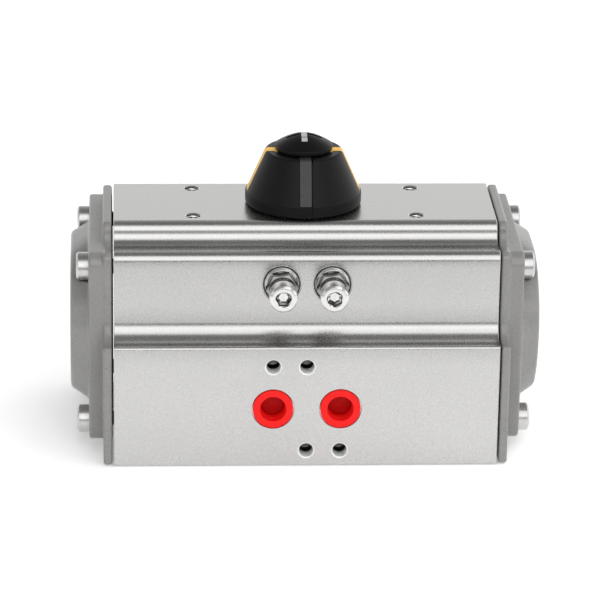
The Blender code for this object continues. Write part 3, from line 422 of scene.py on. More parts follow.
def metal(name, colour, roughness, grain, depth, contrast, patches, metallic=1):
    return grained(name, colour, roughness, grain, depth, contrast, patches, Metallic=metallic)


# A metal or plastic row gives colour, roughness, grain in mm, bump depth in mm, contrast and patch
# size in mm. A lathed row gives colour and roughness.
MATERIALS = {
    "anodised": metal("anodised_aluminium", (0.56, 0.556, 0.547), 0.27, 0.8, 0.008, 0.08, 40),
    "paint": metal("grey_powder_coat", (0.235, 0.232, 0.224), 0.3, 0.9, 0.03, 0.12, 9, metallic=0.15),
    "tapped": metal("tapped_aluminium", (0.8, 0.8, 0.79), 0.35, 0.3, 0.01, 0.06, 3, metallic=0.3),
    # A dark copy of the steel: painted shade on the walls of the screws' hex sockets.
    "socket": metal("socket_painted_shade", grey(0.1), 0.2, 0.3, 0.006, 0.1, 2),
    "piston": metal("die_cast_aluminium", grey(0.55), 0.45, 0.6, 0.03, 0.06, 12),
    "black": plastic("black_plastic", grey(0.004), 0.36, 0.4, 0.012, 0.2, 10, gloss=0.15),
    "insert": plastic("satin_black_insert", grey(0.026), 0.36, 0.5, 0.02, 0.4, 3, gloss=0.4),
    "stripe": plastic("grey_marking", grey(0.42), 0.55, 0.3, 0.01, 0.06, 4),
    "yellow": plastic("yellow_plastic", (0.9, 0.5, 0.06), 0.42, 0.3, 0.008, 0.05, 6),
    "red": plastic("red_plastic", (0.82, 0.008, 0.007), 0.42, 0.4, 0.008, 0.06, 8, gloss=0.22),
    # A darker copy of the red plastic: painted shade for the deep floor inside each plug.
    "red_shade": plastic("red_plastic_painted_shade", (0.5, 0.003, 0.003), 0.35, 0.4, 0.008, 0.06, 8, gloss=0.08),
    "rubber": plastic("black_rubber", grey(0.02), 0.75, 0.4, 0.02, 0.2, 8),
    "bearing": plastic("bearing_plastic", (0.75, 0.74, 0.69), 0.5, 0.4, 0.01, 0.05, 8),
    "machined": lathed("machined_aluminium", grey(0.78), 0.22),
    "stainless": lathed("stainless_steel", (0.6, 0.595, 0.59), 0.27),
    # A darker copy of the stainless steel: painted shade and dark reflections on the lock nuts.
    "nut": lathed("stainless_nut_painted_shade", (0.33, 0.325, 0.32), 0.2),
    "polished": lathed("polished_steel", (0.74, 0.735, 0.73), 0.14),
    # A dark copy of the machined metal: painted shade deep in the drilled holes and the stop screw wells.
    "recess": lathed("bore_painted_shade", grey(0.12), 0.3),
    "plated": lathed("plated_steel", grey(0.5), 0.3),
}


# --- housing ---

BODY_LOW, BODY_HIGH = extent("body")
HALF_LENGTH, HEIGHT = BODY_HIGH.x, BODY_HIGH.z
FRONT, REAR = BODY_LOW.y, BODY_HIGH.y
MIDDLE_FACE = -37
BORE_Z, BORE_RADIUS = 40, 31.5
PLATFORM_HALF, PLATFORM_EDGE, PLATFORM_FILLET, PLATFORM_LEAN = 23.3, 3.6, 4.4, 85
SHOULDER_Z, SHOULDER_RADIUS, SHOULDER_SLOPE = 77.1, 3.2, 4.7
LEDGE_Z, LEDGE_FILLET, EDGE_RADIUS = 45.5, 6.3, 1.1
SHOULDER_EASE, EDGE_EASE, FILLET_EASE, EASE_RADIUS = 1.6, 4, 4, 100
PORTS = [(-12, 22), (12, 22)]
VALVE_HOLES = [(-12, 38), (0, 38), (0, 6), (12, 6)]
PORT_PITCH = 1.337
ACCESSORY_HOLES = [(x, y) for x in (-40, 40) for y in (-15, 15)]
SMALL_HOLE = (2.5, 5, 0.8)  # thread radius, depth, pitch
FLANGE_HOLES = [(25, (3, 9, 1)), (35, (4, 12, 1.25))]  # hole circle's radius and the holes
CORE_SHARE, THREAD_SHARE, DRILL_POINT = 1.03, 0.06, 0.6
SINK_SHARE, VALVE_SINK_SHARE = 1.1, 1.2


def eased_corner(face, top, radius, start, ease):
    """A corner in (outward, z) that bends the last few degrees down to its flat face slowly."""
    last = math.radians(ease)
    middle = (face - EASE_RADIUS * (1 - math.cos(last)) - radius * math.cos(last), top - radius)
    slow = (face - EASE_RADIUS, middle[1] + (radius - EASE_RADIUS) * math.sin(last))
    return arc(middle, radius, start, ease, 8) + arc(slow, EASE_RADIUS, ease, 0, 1)[1:]


def eased_fillet(face, low, radius, ease):
    """A fillet in (outward, z) that starts slowly below its flat face and ends on the ledge."""
    first = math.radians(ease)
    middle = (face + EASE_RADIUS * (1 - math.cos(first)) + radius * math.cos(first), low + radius)
    slow = (face + EASE_RADIUS, middle[1] + (EASE_RADIUS - radius) * math.sin(first))
    return arc(slow, EASE_RADIUS, 180, 180 + ease, 1) + arc(middle, radius, 180 + ease, 270, 5)[1:]


def shoulder(face, outward):
    """The platform's edge and foot, the ledge and the upper corner, in (y, z) from the top outward."""
    lean = math.radians(PLATFORM_LEAN)
    crest = (PLATFORM_HALF - PLATFORM_EDGE, HEIGHT - PLATFORM_EDGE)
    reach = PLATFORM_EDGE + PLATFORM_FILLET
    foot = (crest[0] + reach * math.sin(lean), crest[1] + reach * math.cos(lean))
    points = arc(crest, PLATFORM_EDGE, 90, 90 - PLATFORM_LEAN, 5)
    points += arc(foot, PLATFORM_FILLET, 270 - PLATFORM_LEAN, 270 + SHOULDER_SLOPE, 5)[1:]
    points += eased_corner(face, SHOULDER_Z, SHOULDER_RADIUS, 90 + SHOULDER_SLOPE, SHOULDER_EASE)
    return [(y * outward, z) for y, z in points]


def housing_outline(inset=0):
    """The housing's section in (y, z), from the front of the platform round to its rear."""
    outline = shoulder(-MIDDLE_FACE, -1)
    ledge = eased_fillet(-MIDDLE_FACE, LEDGE_Z, LEDGE_FILLET, FILLET_EASE)
    ledge += eased_corner(-FRONT, LEDGE_Z, EDGE_RADIUS, 90, EDGE_EASE)
    outline += [(-outward, z) for outward, z in ledge]
    outline += arc((FRONT + EDGE_RADIUS, EDGE_RADIUS), EDGE_RADIUS, 180, 270, 15)
    outline += arc((REAR - EDGE_RADIUS, EDGE_RADIUS), EDGE_RADIUS, 270, 360, 15)
    outline += reversed(shoulder(REAR, 1))
    return inward(outline, inset) if inset else outline


def tapped_hole(radius, depth, pitch, sink_share=SINK_SHARE):
    """A cutter drilled from level 0 down, with a countersunk mouth, a thread and a drill point."""
    mouth, core = radius * sink_share, radius * CORE_SHARE
    sink, overlap = mouth - core, 0.1
    rows = [(0, CLEAR), (mouth + overlap, CLEAR), (mouth + overlap, 0.001), (core, -sink)]
    rows += reversed(thread(core, -THREAD_SHARE * radius, pitch - depth, -sink - 0.05, pitch, 6))
    rows += [(core, -depth), (0, -depth - core * DRILL_POINT)]
    return turned(rows, 32, pitch)


def moved(shell, origin=(0, 0, 0), facing="up"):
    """A shell placed in the actuator's own frame."""
    points, faces = shell
    axes = Matrix(FACING[facing]).transposed()
    spot = Vector(origin)
    return [tuple(spot + axes @ Vector(p)) for p in points], faces


def body_blank():
    """The extrusion with chamfered ends, before any hole."""
    chamfer = 0.25
    outline, inset = housing_outline(), housing_outline(chamfer)
    sections = [
        (inset, -HALF_LENGTH),
        (outline, -HALF_LENGTH + chamfer),
        (outline, HALF_LENGTH - chamfer),
        (inset, HALF_LENGTH),
    ]
    shell = moved(stacked(sections), facing="right")
    return as_mesh("actuator_body", shell, MATERIALS["anodised"])


def cylinder_bore():
    """The bore from end to end, with a lead-in at each."""
    end, lead = HALF_LENGTH + CLEAR, 1.6
    wide = BORE_RADIUS + lead
    profile = [(0, -end), (wide, -end), (BORE_RADIUS, lead - end)]
    profile += [(BORE_RADIUS, end - lead), (wide, end), (0, end)]
    return moved(turned(profile, 96), (0, 0, BORE_Z), "right")


def cap_screw_holes():
    length = HALF_LENGTH - extent("end_cap_screw_right_1")[0].x + CLEAR
    hole = turned([(0, CLEAR), (3.2, CLEAR), (3.2, -length), (0, -length - 1.5)], 24)
    holes = []
    for label, side, number in CAP_SCREWS:
        spot = centre(f"end_cap_screw_{label}_{number}")
        holes.append(moved(hole, (side * HALF_LENGTH, spot.y, spot.z), label))
    return merged(*holes)


def shaft_holes():
    """The upper shaft hole, and the lower one with the centring recess round it."""
    top, foot, recess, recess_floor, edge = 10.1, 15, 17.6, 2.5, 0.5
    upper_end, lower_end = BORE_Z + 20, BORE_Z - 20
    upper = [
        (0, upper_end),
        (top, upper_end),
        (top, HEIGHT - edge),
        (top + edge, HEIGHT),
        (top + edge, HEIGHT + CLEAR),
        (0, HEIGHT + CLEAR),
    ]
    lower = [
        (0, -CLEAR),
        (recess + edge, -CLEAR),
        (recess + edge, 0),
        (recess, edge),
        (recess, recess_floor),
        (foot + 0.4, recess_floor),
        (foot, recess_floor + 0.4),
        (foot, lower_end),
        (0, lower_end),
    ]
    return merged(turned(upper, 64), turned(lower, 64))


def tapped_holes():
    """Cutters in three lists: bright threads, the valve holes' pale threads and drilled ends dark with
    painted shade.
    """
    bright, pale, dark = [], [], []
    drilled = turned([(0, -4.8), (2.57, -4.8), (2.57, -9), (0, -10.3)], 32)
    for x, y in ACCESSORY_HOLES:
        bright.append(moved(tapped_hole(*SMALL_HOLE), (x, y, HEIGHT)))
        dark.append(moved(drilled, (x, y, HEIGHT)))
    for x, z in VALVE_HOLES:
        pale.append(moved(tapped_hole(*SMALL_HOLE, VALVE_SINK_SHARE), (x, FRONT, z), "front"))
        dark.append(moved(drilled, (x, FRONT, z), "front"))
    for ring, size in FLANGE_HOLES:
        for x, y in arc((0, 0), ring, 45, 315, 90):
            bright.append(moved(tapped_hole(*size), (x, y, 0), "down"))
    return bright, pale, dark


def port_holes():
    """The threaded air ports, each with a seat for the plug's flange."""
    seat, seat_floor, neck, radius = 7.5, -1.6, 6.5, 6
    rows = [(0, CLEAR), (seat + 0.1, CLEAR), (seat + 0.1, 0), (seat, -0.1), (seat, seat_floor)]
    rows += [(neck, seat_floor), (radius, seat_floor - 0.5)]
    rows += reversed(thread(radius, -0.5, -13, -2.4, PORT_PITCH, 6))
    rows += [(radius, -13.2), (0, -13.2)]
    return [moved(turned(rows, 40, PORT_PITCH), (x, FRONT, z), "front") for x, z in PORTS]


def adjuster_holes():
    """The washers' shallow seats, and the stepped holes of the stop screws below them, dark with painted
    shade.
    """
    seat = turned([(0, CLEAR), (7.15, CLEAR), (7.15, 0.05), (6.8, -0.3), (0, -0.3)], 64)
    steps = [(0, -0.2), (6.75, -0.2), (6.75, -1.5), (4.9, -1.5), (4.9, -3.1)]
    steps += [(3.25, -3.1), (3.25, -26), (0, -26)]
    spots = [centre(f"adjuster_washer_{label}") for label in SIDES]
    places = [(spot.x, MIDDLE_FACE, spot.z) for spot in spots]
    return [[moved(hole, place, "front") for place in places] for hole in (seat, turned(steps, 64))]


def make_body():
    bright, pale, dark = tapped_holes()
    seats, wells = adjuster_holes()
    cutters = [
        (cylinder_bore(), "machined"),
        (cap_screw_holes(), "machined"),
        (shaft_holes(), "machined"),
        (merged(*bright), "machined"),
        (merged(*port_holes(), *seats), "machined"),
        (merged(*pale), "tapped"),
        # Drilled ends and stop screw wells are cut with the painted shade material.
        (merged(*dark, *wells), "recess"),
    ]
    tools = [as_mesh("cutter", shell, MATERIALS[inside]) for shell, inside in cutters]
    mesh = combined(body_blank(), "DIFFERENCE", *tools)
    shade(mesh)
    finish_piece(placed("actuator_body", mesh), "housing", "housing_aluminium", "body")


# --- end caps: a cast shape given by its distance field ---

CAP_LOW, CAP_HIGH = extent("end_cap_right")
INNER_FLANGE_END, OUTER_FLANGE_END = 72.3, 77.4
FLANGE_INSET, FLANGE_EDGE, BOSS_EDGE, BOSS_SLOPE = 0.5, 0.9, 1.1, 1.12
FLANGE_FILLET, BOSS_FILLET = 0.35, 0.9
PLATE_MIDDLE, PLATE_HALF, PLATE_CORNER = (-0.5, 40.5), 35.5, 4.5
POCKET_RADIUS, POCKET_FLOOR, POCKET_LIP = 5.7, 75.5, 0.35
SCREW_HOLE_RADIUS = 3.2
CAVITIES = [(30, 74.6, 0.8, 0.3), (20, 80.9, 2, 0.5)]  # radius, end, inner corner, lip
THINNED_SHARE = 0.45
# Half of the boss's outline in (y, z), where it leaves the flange and at its outer face.
BOSS_BASE = [(10.5, 73.6), (19.3, 68.4), (26, 63.6), (32.6, 57), (35, 48), (34.8, 38), (32, 27)]
BOSS_BASE += [(25.5, 17.2), (12, 13.1)]
BOSS_TIP = [(9.5, 68.9), (17.5, 66.6), (23.8, 62.4), (29.4, 56), (32, 48), (31.6, 39), (29.2, 30)]
BOSS_TIP += [(23, 20.8), (10.5, 17.9)]


def smoothed(half, passes=3):
    """A closed outline, symmetric about y = 0, with its corners cut off a few times over."""
    outline = half + [(-a, b) for a, b in reversed(half)]
    for _ in range(passes):
        cut = []
        for i, (a, b) in enumerate(outline):
            c, d = outline[(i + 1) % len(outline)]
            cut += [(0.8 * a + 0.2 * c, 0.8 * b + 0.2 * d), (0.2 * a + 0.8 * c, 0.2 * b + 0.8 * d)]
        outline = cut
    return outline


def outline_distance(outline, y, z):
    """The signed distance from points to a closed outline, negative inside."""
    nearest = np.full(y.shape, np.inf)
    inside = np.zeros(y.shape, bool)
    for i, (a, b) in enumerate(outline):
        c, d = outline[i - 1]
        along_y, along_z = c - a, d - b
        from_y, from_z = y - a, z - b
        share = (from_y * along_y + from_z * along_z) / (along_y**2 + along_z**2 + 1e-12)
        share = np.clip(share, 0, 1)
        off_y, off_z = from_y - share * along_y, from_z - share * along_z
        nearest = np.minimum(nearest, off_y**2 + off_z**2)
        if b != d:
            spans = (b > z) != (d > z)
            inside ^= spans & (y < a + (z - b) * along_y / along_z)
    distance = np.sqrt(nearest)
    return np.where(inside, -distance, distance)


def both(first, second, radius):
    """The distance to what two shapes share, with the edge rounded off."""
    a, b = first + radius, second + radius
    return np.minimum(np.maximum(a, b), 0) + np.hypot(np.maximum(a, 0), np.maximum(b, 0)) - radius


def either(first, second, radius):
    """The distance to two shapes together, with a fillet between them."""
    a, b = radius - first, radius - second
    return radius - np.minimum(np.maximum(a, b), 0) - np.hypot(np.maximum(a, 0), np.maximum(b, 0))


class CapShape:
    """The right end cap, as a distance field over points in (x, y, z)."""

    def __init__(self):
        self.flange = housing_outline(FLANGE_INSET)
        self.base = smoothed(BOSS_BASE)
        self.tip = smoothed(BOSS_TIP)
        self.screws = [centre(f"end_cap_screw_right_{number}") for number in range(1, 5)]

    def plate(self, y, z):
        """The distance to the outer flange's square outline with rounded corners."""
        across = np.abs(y - PLATE_MIDDLE[0]) - PLATE_HALF + PLATE_CORNER
        upward = np.abs(z - PLATE_MIDDLE[1]) - PLATE_HALF + PLATE_CORNER
        beyond = np.hypot(np.maximum(across, 0), np.maximum(upward, 0))
        return beyond + np.minimum(np.maximum(across, upward), 0) - PLATE_CORNER

    def boss_sides(self, x, y, z):
        """The distance to the sides of the boss, which narrow from its base to its tip."""
        share = np.clip((x - OUTER_FLANGE_END) / (CAP_HIGH.x - OUTER_FLANGE_END), 0, 1)
        wide, narrow = outline_distance(self.base, y, z), outline_distance(self.tip, y, z)
        return (wide * (1 - share) + narrow * share) / BOSS_SLOPE

    def __call__(self, p):
        x, y, z = p[..., 0], p[..., 1], p[..., 2]
        before = CAP_LOW.x - x
        inner_ends = np.maximum(x - INNER_FLANGE_END, before)
        outer_ends = np.maximum(x - OUTER_FLANGE_END, before)
        inner = both(outline_distance(self.flange, y, z), inner_ends, FLANGE_EDGE)
        outer = both(self.plate(y, z), outer_ends, FLANGE_EDGE)
        boss = both(self.boss_sides(x, y, z), np.maximum(x - CAP_HIGH.x, before), BOSS_EDGE)
        solid = either(either(inner, outer, FLANGE_FILLET), boss, BOSS_FILLET)
        for screw in self.screws:
            radius = np.hypot(y - screw.y, z - screw.z)
            solid = both(solid, -both(radius - POCKET_RADIUS, POCKET_FLOOR - x, 0.01), POCKET_LIP)
            solid = both(solid, SCREW_HOLE_RADIUS - radius, 0.05)
        radius = np.hypot(y, z - BORE_Z)
        for wide, end, corner, lip in CAVITIES:
            solid = both(solid, -both(radius - wide, x - end, corner), lip)
        return solid


def surface_net(distance, low, high, step):
    """Points and quads of the surface where a distance field is 0."""
    axes = [np.arange(low[k], high[k] + step, step) for k in range(3)]
    grid = np.stack(np.meshgrid(*axes, indexing="ij"), -1)
    inside = distance(grid) < 0
    corners = np.zeros([n - 1 for n in inside.shape], int)
    ends = (slice(0, -1), slice(1, None))
    for i, j, k in itertools.product(ends, repeat=3):
        corners += inside[i, j, k]
    mixed = (corners > 0) & (corners < 8)
    index = np.full(mixed.shape, -1)
    index[mixed] = np.arange(mixed.sum())
    cells = np.argwhere(mixed)
    points = np.array(low) + (cells + 0.5) * step
    faces = []
    for axis in range(3):
        first = [slice(None)] * 3
        second = [slice(None)] * 3
        first[axis], second[axis] = ends
        before, after = inside[tuple(first)], inside[tuple(second)]
        b, c = [k for k in range(3) if k != axis]
        for crossing, flip in ((before & ~after, False), (~before & after, True)):
            spots = np.argwhere(crossing)
            around = []
            for db, dc in ((0, 0), (1, 0), (1, 1), (0, 1)):
                cell = spots.copy()
                cell[:, b] -= db
                cell[:, c] -= dc
                around.append(index[tuple(cell.T)])
            quads = np.stack(around, 1)
            if (axis == 1) != flip:
                quads = quads[:, ::-1]
            faces.append(quads)
    faces = np.concatenate(faces)
    return points, faces[(faces >= 0).all(1)]


def gradient(distance, points, reach=0.02):
    here = distance(points)
    slopes = []
    for axis in range(3):
        step = np.zeros(3)
        step[axis] = reach
        slopes.append((distance(points + step) - here) / reach)
    return here, np.stack(slopes, -1)


def onto_surface(distance, points, most):
    """The points moved to where the distance is 0, each pass by no more than a set length."""
    for _ in range(3):
        here, slope = gradient(distance, points)
        steepness = np.sqrt(np.maximum((slope**2).sum(1), 0.2))
        move = np.clip(-here / steepness, -most, most) / steepness
        points = points + slope * move[:, None]
    return points


def make_end_caps():
    shape = CapShape()
    step = 0.6
    low = np.array([CAP_LOW.x - 1.03 * step, FRONT - 1.5, -1.5])
    high = np.array([CAP_HIGH.x + 2 * step, REAR + 1.5, HEIGHT + 1.5])
    points, faces = surface_net(shape, low, high, step)
    points = onto_surface(shape, points, step)
    mesh = bpy.data.meshes.new("cap")
    mesh.from_pydata(points.tolist(), [], faces.tolist())
    helper = linked("cap", mesh)
    helper.modifiers.new("thin", "DECIMATE").ratio = THINNED_SHARE
    thinned = applied(helper)
    points = np.empty(len(thinned.vertices) * 3)
    thinned.vertices.foreach_get("co", points)
    points = onto_surface(shape, points.reshape(-1, 3), 0.2)
    normals = gradient(shape, points)[1]
    normals /= np.linalg.norm(normals, axis=1, keepdims=True)
    faces = [list(polygon.vertices) for polygon in thinned.polygons]
    for label, side in SIDES.items():
        mirror = np.array([side, 1, 1])
        mesh = bpy.data.meshes.new(f"cast_end_cap_{label}")
        order = faces if side > 0 else [face[::-1] for face in faces]
        mesh.from_pydata((points * mirror * MM).tolist(), [], order)
        mesh.materials.append(MATERIALS["paint"])
        mesh.shade_smooth()
        mesh.normals_split_custom_set_from_vertices((normals * mirror).tolist())
        cap = placed(f"cast_end_cap_{label}", mesh)
        finish_piece(cap, "housing", "cap_paint", f"end_cap_{label}", weighted=False)


# --- fasteners ---

SCREW_RADIUS, SCREW_THREAD, HEAD_RADIUS, HEAD_HEIGHT = 2.95, 0.6, 5, 6
KEY_FLATS, KEY_DEPTH = 5, 1.7
NUT_FLATS, NUT_SLOPE, NUT_HOLE, NUT_MOUTH = 10, 28, 3.25, 3.6
KEY_TURN = {"left": 0, "right": 27}
NUT_TURN = {"left": 6, "right": 8}
WASHER_HOLE = 3.3


def screw_mesh(name, length, material, key_turn=0, segments=48, rows=8):
    """A socket head screw round Z: level 0 is the head's seat, and the head reaches up from it."""
    radius, head, top = SCREW_RADIUS, HEAD_RADIUS, HEAD_HEIGHT
    corners = [
        (radius, -0.2),
        (radius, 0),
        (head - 0.2, 0, 0.1),
        (head, 0.2, 0.1),
        (head, top - 0.7, 0.3),
        (head - 0.75, top, 0.2),
        (3.6, top),
        (3.3, top),
        (0, top),
    ]
    profile = [(0, -length), (radius - SCREW_THREAD - 0.2, -length), (radius - 0.25, 0.6 - length)]
    profile += thread(radius, SCREW_THREAD, 0.65 - length, -0.4, 1, rows)
    profile += rounded(corners, closed=False, step=20)[1:]
    mesh = as_mesh(name, turned(profile, segments), MATERIALS[material])
    socket = prism(hexagon(KEY_FLATS, key_turn), top - KEY_DEPTH, top + CLEAR)
    mouth = [(0, top - 0.45), (KEY_FLATS / 2, top - 0.45), (radius, top), (radius, top + CLEAR)]
    mouth.append((0, top + CLEAR))
    floor = [(hexagon(3, key_turn), top - 2.6), (hexagon(4.9, key_turn), top - 1.6)]
    # The hex socket's walls take the dark socket material, which is painted shade.
    tools = ((socket, "socket"), (turned(mouth, 36), material), (stacked(floor), material))
    tools = [as_mesh("tool", shell, MATERIALS[inside]) for shell, inside in tools]
    mesh = combined(mesh, "DIFFERENCE", *tools)
    shade(mesh)
    return mesh


def make_cap_screws():
    low, high = extent("end_cap_screw_right_1")
    seat = high.x - HEAD_HEIGHT
    mesh = screw_mesh("cap_screw", seat - low.x, "stainless", segments=36, rows=6)
    for label, side, number in CAP_SCREWS:
        name = f"{label}_{number}"
        spot = centre(f"end_cap_screw_{name}")
        place = (side * seat, spot.y, spot.z)
        turn = 37 * number + (11 if side > 0 else 0)
        obj = placed(f"cap_screw_{name}", mesh.copy(), place, label, turn)
        finish_piece(obj, "housing", "stainless_steel", f"end_cap_screw_{name}")


def nut_mesh():
    """A hexagon nut with its corners turned off and a threaded hole, round its middle."""
    low, high = extent("adjuster_nut_left")
    half = (high.y - low.y) / 2
    rim = NUT_FLATS / 2 - 0.1
    wide = NUT_FLATS / 2 / math.cos(math.radians(30)) + 0.2
    edge = half - (wide - rim) * math.tan(math.radians(NUT_SLOPE))
    cone = [(0, -half), (rim, -half), (wide, -edge), (wide, edge), (rim, half), (0, half)]
    below, above = -half - CLEAR, half + CLEAR
    hole = [(0, below), (NUT_MOUTH, below), (NUT_MOUTH, -half), (NUT_HOLE, 0.4 - half)]
    hole += thread(NUT_HOLE, 0.25, 0.5 - half, half - 0.5, 1)
    hole += [(NUT_HOLE, half - 0.4), (NUT_MOUTH, half), (NUT_MOUTH, above), (0, above)]
    # The nut takes the darker steel, which is painted shade.
    steel = MATERIALS["nut"]
    mesh = as_mesh("lock_nut", prism(hexagon(NUT_FLATS), -half, half), steel)
    mesh = combined(mesh, "INTERSECT", as_mesh("tool", turned(cone, 72), steel))
    mesh = combined(mesh, "DIFFERENCE", as_mesh("tool", turned(hole, 40), steel))
    shade(mesh, 25)
    return mesh


def washer_mesh(name, radius, thick):
    hole, step = WASHER_HOLE, thick * 0.45
    corners = [
        (hole, 0, 0.1),
        (radius, 0, 0.1),
        (radius, step, 0.3),
        (radius - 0.9, thick, 0.3),
        (hole, thick, 0.1),
    ]
    mesh = as_mesh(name, turned(rounded(corners, step=15), 72), MATERIALS["stainless"])
    shade(mesh)
    return mesh


def make_adjusters():
    nut = nut_mesh()
    for label in SIDES:
        low, high = extent(f"adjuster_screw_{label}")
        spot = centre(f"adjuster_screw_{label}")
        seat = low.y + HEAD_HEIGHT
        mesh = screw_mesh(f"stop_screw_{label}", high.y - seat, "polished", KEY_TURN[label])
        screw = placed(f"stop_screw_{label}", mesh, (spot.x, seat, spot.z), "front")
        finish_piece(screw, f"stop_screw_{label}", "stainless_steel", f"adjuster_screw_{label}")
        place = centre(f"adjuster_nut_{label}")
        obj = placed(f"lock_nut_{label}", nut.copy(), place, "front", NUT_TURN[label])
        finish_piece(obj, f"lock_nut_{label}", "stainless_steel", f"adjuster_nut_{label}")
        low, high = extent(f"adjuster_washer_{label}")
        mesh = washer_mesh(f"stop_washer_{label}", (high.x - low.x) / 2, high.y - low.y)
        washer = placed(f"stop_washer_{label}", mesh, (spot.x, high.y, spot.z), "front")
        finish_piece(washer, "housing", "stainless_steel", f"adjuster_washer_{label}")


# --- port plugs ---


def plug_mesh(name, length):
    """A shipping plug round Z, hollow from its mouth at level 0, with painted shade on the floor inside.
    """
    floor, floor_wall, floor_radius = -6.8, -4.95, 4.4
    corners = [
        (0, -length),
        (5.2, -length, 0.4),
        (5.7, 1.2 - length, 0.3),
        (5.7, -1.5, 0.2),
        (7.2, -1.5, 0.3),
        (7.2, 0, 0.25),
        (4.65, 0, 0.25),
        (4.6, -2.5, 0.1),
        (4.4, -2.7, 0.1),
        (4.35, -4.9, 0.1),
        (4.15, -5.1, 0.1),
        (4.1, floor, 0.4),
        (0, floor),
    ]
    profile = rounded(corners, closed=False, step=20)
    mesh = as_mesh(name, turned(profile, 72), MATERIALS["red"], MATERIALS["red_shade"])
    # The faces on the hollow's floor take the darker red, which is painted shade.
    for polygon in mesh.polygons:
        middle = polygon.center / MM
        if floor - 0.2 < middle.z < floor_wall and middle.xy.length < floor_radius:
            polygon.material_index = 1
    shade(mesh, 50)
    return mesh


def make_plugs():
    for label in SIDES:
        low, high = extent(f"port_plug_{label}")
        spot = centre(f"port_plug_{label}")
        mesh = plug_mesh(f"red_plug_{label}", high.y - low.y)
        plug = placed(f"red_plug_{label}", mesh, (spot.x, low.y, spot.z), "front")
        finish_piece(plug, f"plug_{label}", "red_plastic", f"port_plug_{label}")


# --- indicator ---

INDICATOR_LOW, INDICATOR_HIGH = extent("indicator_housing")
BAND_Z, RIM_Z = 88.2, INDICATOR_HIGH.z
BASE_RADIUS, TOP_RADIUS, WALL = INDICATOR_HIGH.x, 13.8, 3
INSERT_WIDTH, INSERT_THICKNESS, INSERT_INNER = 4.2, 1.2, 9.4
INSERTS = {"yellow_left": 180, "yellow_right": 0, "black_front": -90, "black_rear": 90}


def cone_radius(z):
    foot = BASE_RADIUS - 0.3
    return foot + (TOP_RADIUS - foot) * (z - BAND_Z) / (RIM_Z - BAND_Z)


def insert_section(inset, outside):
    """An insert's section in (radius, z): over the platform's rim and down the cone."""
    low = BAND_Z + 0.5
    top = RIM_Z + outside
    thick = INSERT_THICKNESS
    bend = cone_radius(RIM_Z) - 0.5
    return [
        (INSERT_INNER - inset, RIM_Z - thick - inset),
        (INSERT_INNER - inset, top),
        (bend + outside, top),
        (cone_radius(RIM_Z - 0.9) + outside, RIM_Z - 0.9 + outside * 0.5),
        (cone_radius(low - inset) + outside, low - inset),
        (cone_radius(low - inset) - thick - inset, low - inset),
        (cone_radius(RIM_Z - thick - inset) - thick - inset, RIM_Z - thick - inset),
    ]


def slab(section, low, high, turn):
    """A section in (radius, z), given a width across the radius and turned about Z."""
    points, faces = prism(section, low, high)
    spin = Matrix.Rotation(math.radians(turn), 3, "Z")
    return [tuple(spin @ Vector((r, -across, z))) for r, z, across in points], faces


def softened(mesh, width, segments=2, angle=30):
    """A small bevel along the mesh's sharp edges."""
    bm = bmesh.new()
    bm.from_mesh(mesh)
    sharp = math.radians(angle)
    edges = [e for e in bm.edges if e.is_manifold and e.calc_face_angle(0) > sharp]
    bmesh.ops.bevel(
        bm,
        geom=edges,
        offset=width * MM,
        segments=segments,
        profile=0.5,
        affect="EDGES",
        clamp_overlap=True,
    )
    bm.to_mesh(mesh)
    bm.free()
    return mesh


def cup_mesh():
    """The hollow cone over its band, with a recess on top for the dome and slots for the inserts."""
    base, roof = INDICATOR_LOW.z, RIM_Z - WALL
    recess, neck, neck_low = RIM_Z - 0.6, 7, 90
    corners = [
        (BASE_RADIUS - WALL, base, 0.3),
        (BASE_RADIUS, base, 0.8),
        (BASE_RADIUS, BAND_Z, 0.15),
        (cone_radius(BAND_Z), BAND_Z + 0.1, 0.1),
        (cone_radius(RIM_Z), RIM_Z, 1.1),
        (10.9, RIM_Z, 0.2),
        (10.7, recess, 0.2),
        (neck, recess, 0.2),
        (neck, neck_low, 0.2),
        (neck + 2, neck_low, 0.2),
        (neck + 2, roof, 0.5),
        (cone_radius(roof) - WALL, roof, 0.5),
        (cone_radius(BAND_Z) - WALL, BAND_Z, 0.5),
    ]
    mesh = as_mesh("indicator_cup", turned(rounded(corners), 128), MATERIALS["black"])
    half = INSERT_WIDTH / 2
    inner, outer, seam_top = BASE_RADIUS - 0.7, BASE_RADIUS + CLEAR, BAND_Z + 0.8
    seam = [(inner, base - CLEAR), (outer, base - CLEAR), (outer, seam_top), (inner, seam_top)]
    slots = []
    for name, turn in INSERTS.items():
        black = name.startswith("black")
        gap = 0.5 if black else 0.12
        slots.append(slab(insert_section(0.15, 3), -half - gap, half + 0.15, turn))
        if black:
            slots.append(slab(seam, -half - 0.4, -half - 0.15, turn))
    tools = [as_mesh("tool", slot, MATERIALS["black"]) for slot in slots]
    mesh = combined(mesh, "DIFFERENCE", *tools)
    shade(mesh)
    return mesh


def make_indicator():
    cup = placed("indicator_cup", cup_mesh())
    finish_piece(cup, "drive", "indicator_plastic", "indicator_housing")
    half = INSERT_WIDTH / 2
    for place, turn in INSERTS.items():
        colour, where = place.split("_")
        name = f"{colour}_insert_{where}"
        yellow = colour == "yellow"
        material = MATERIALS["yellow" if yellow else "insert"]
        shell = slab(insert_section(0, 0), -half, half, turn)
        mesh = softened(as_mesh(name, shell, material), 0.15)
        shade(mesh)
        slot = "yellow_plastic" if yellow else "indicator_plastic"
        finish_piece(placed(name, mesh), "drive", slot, f"indicator_insert_{place}")


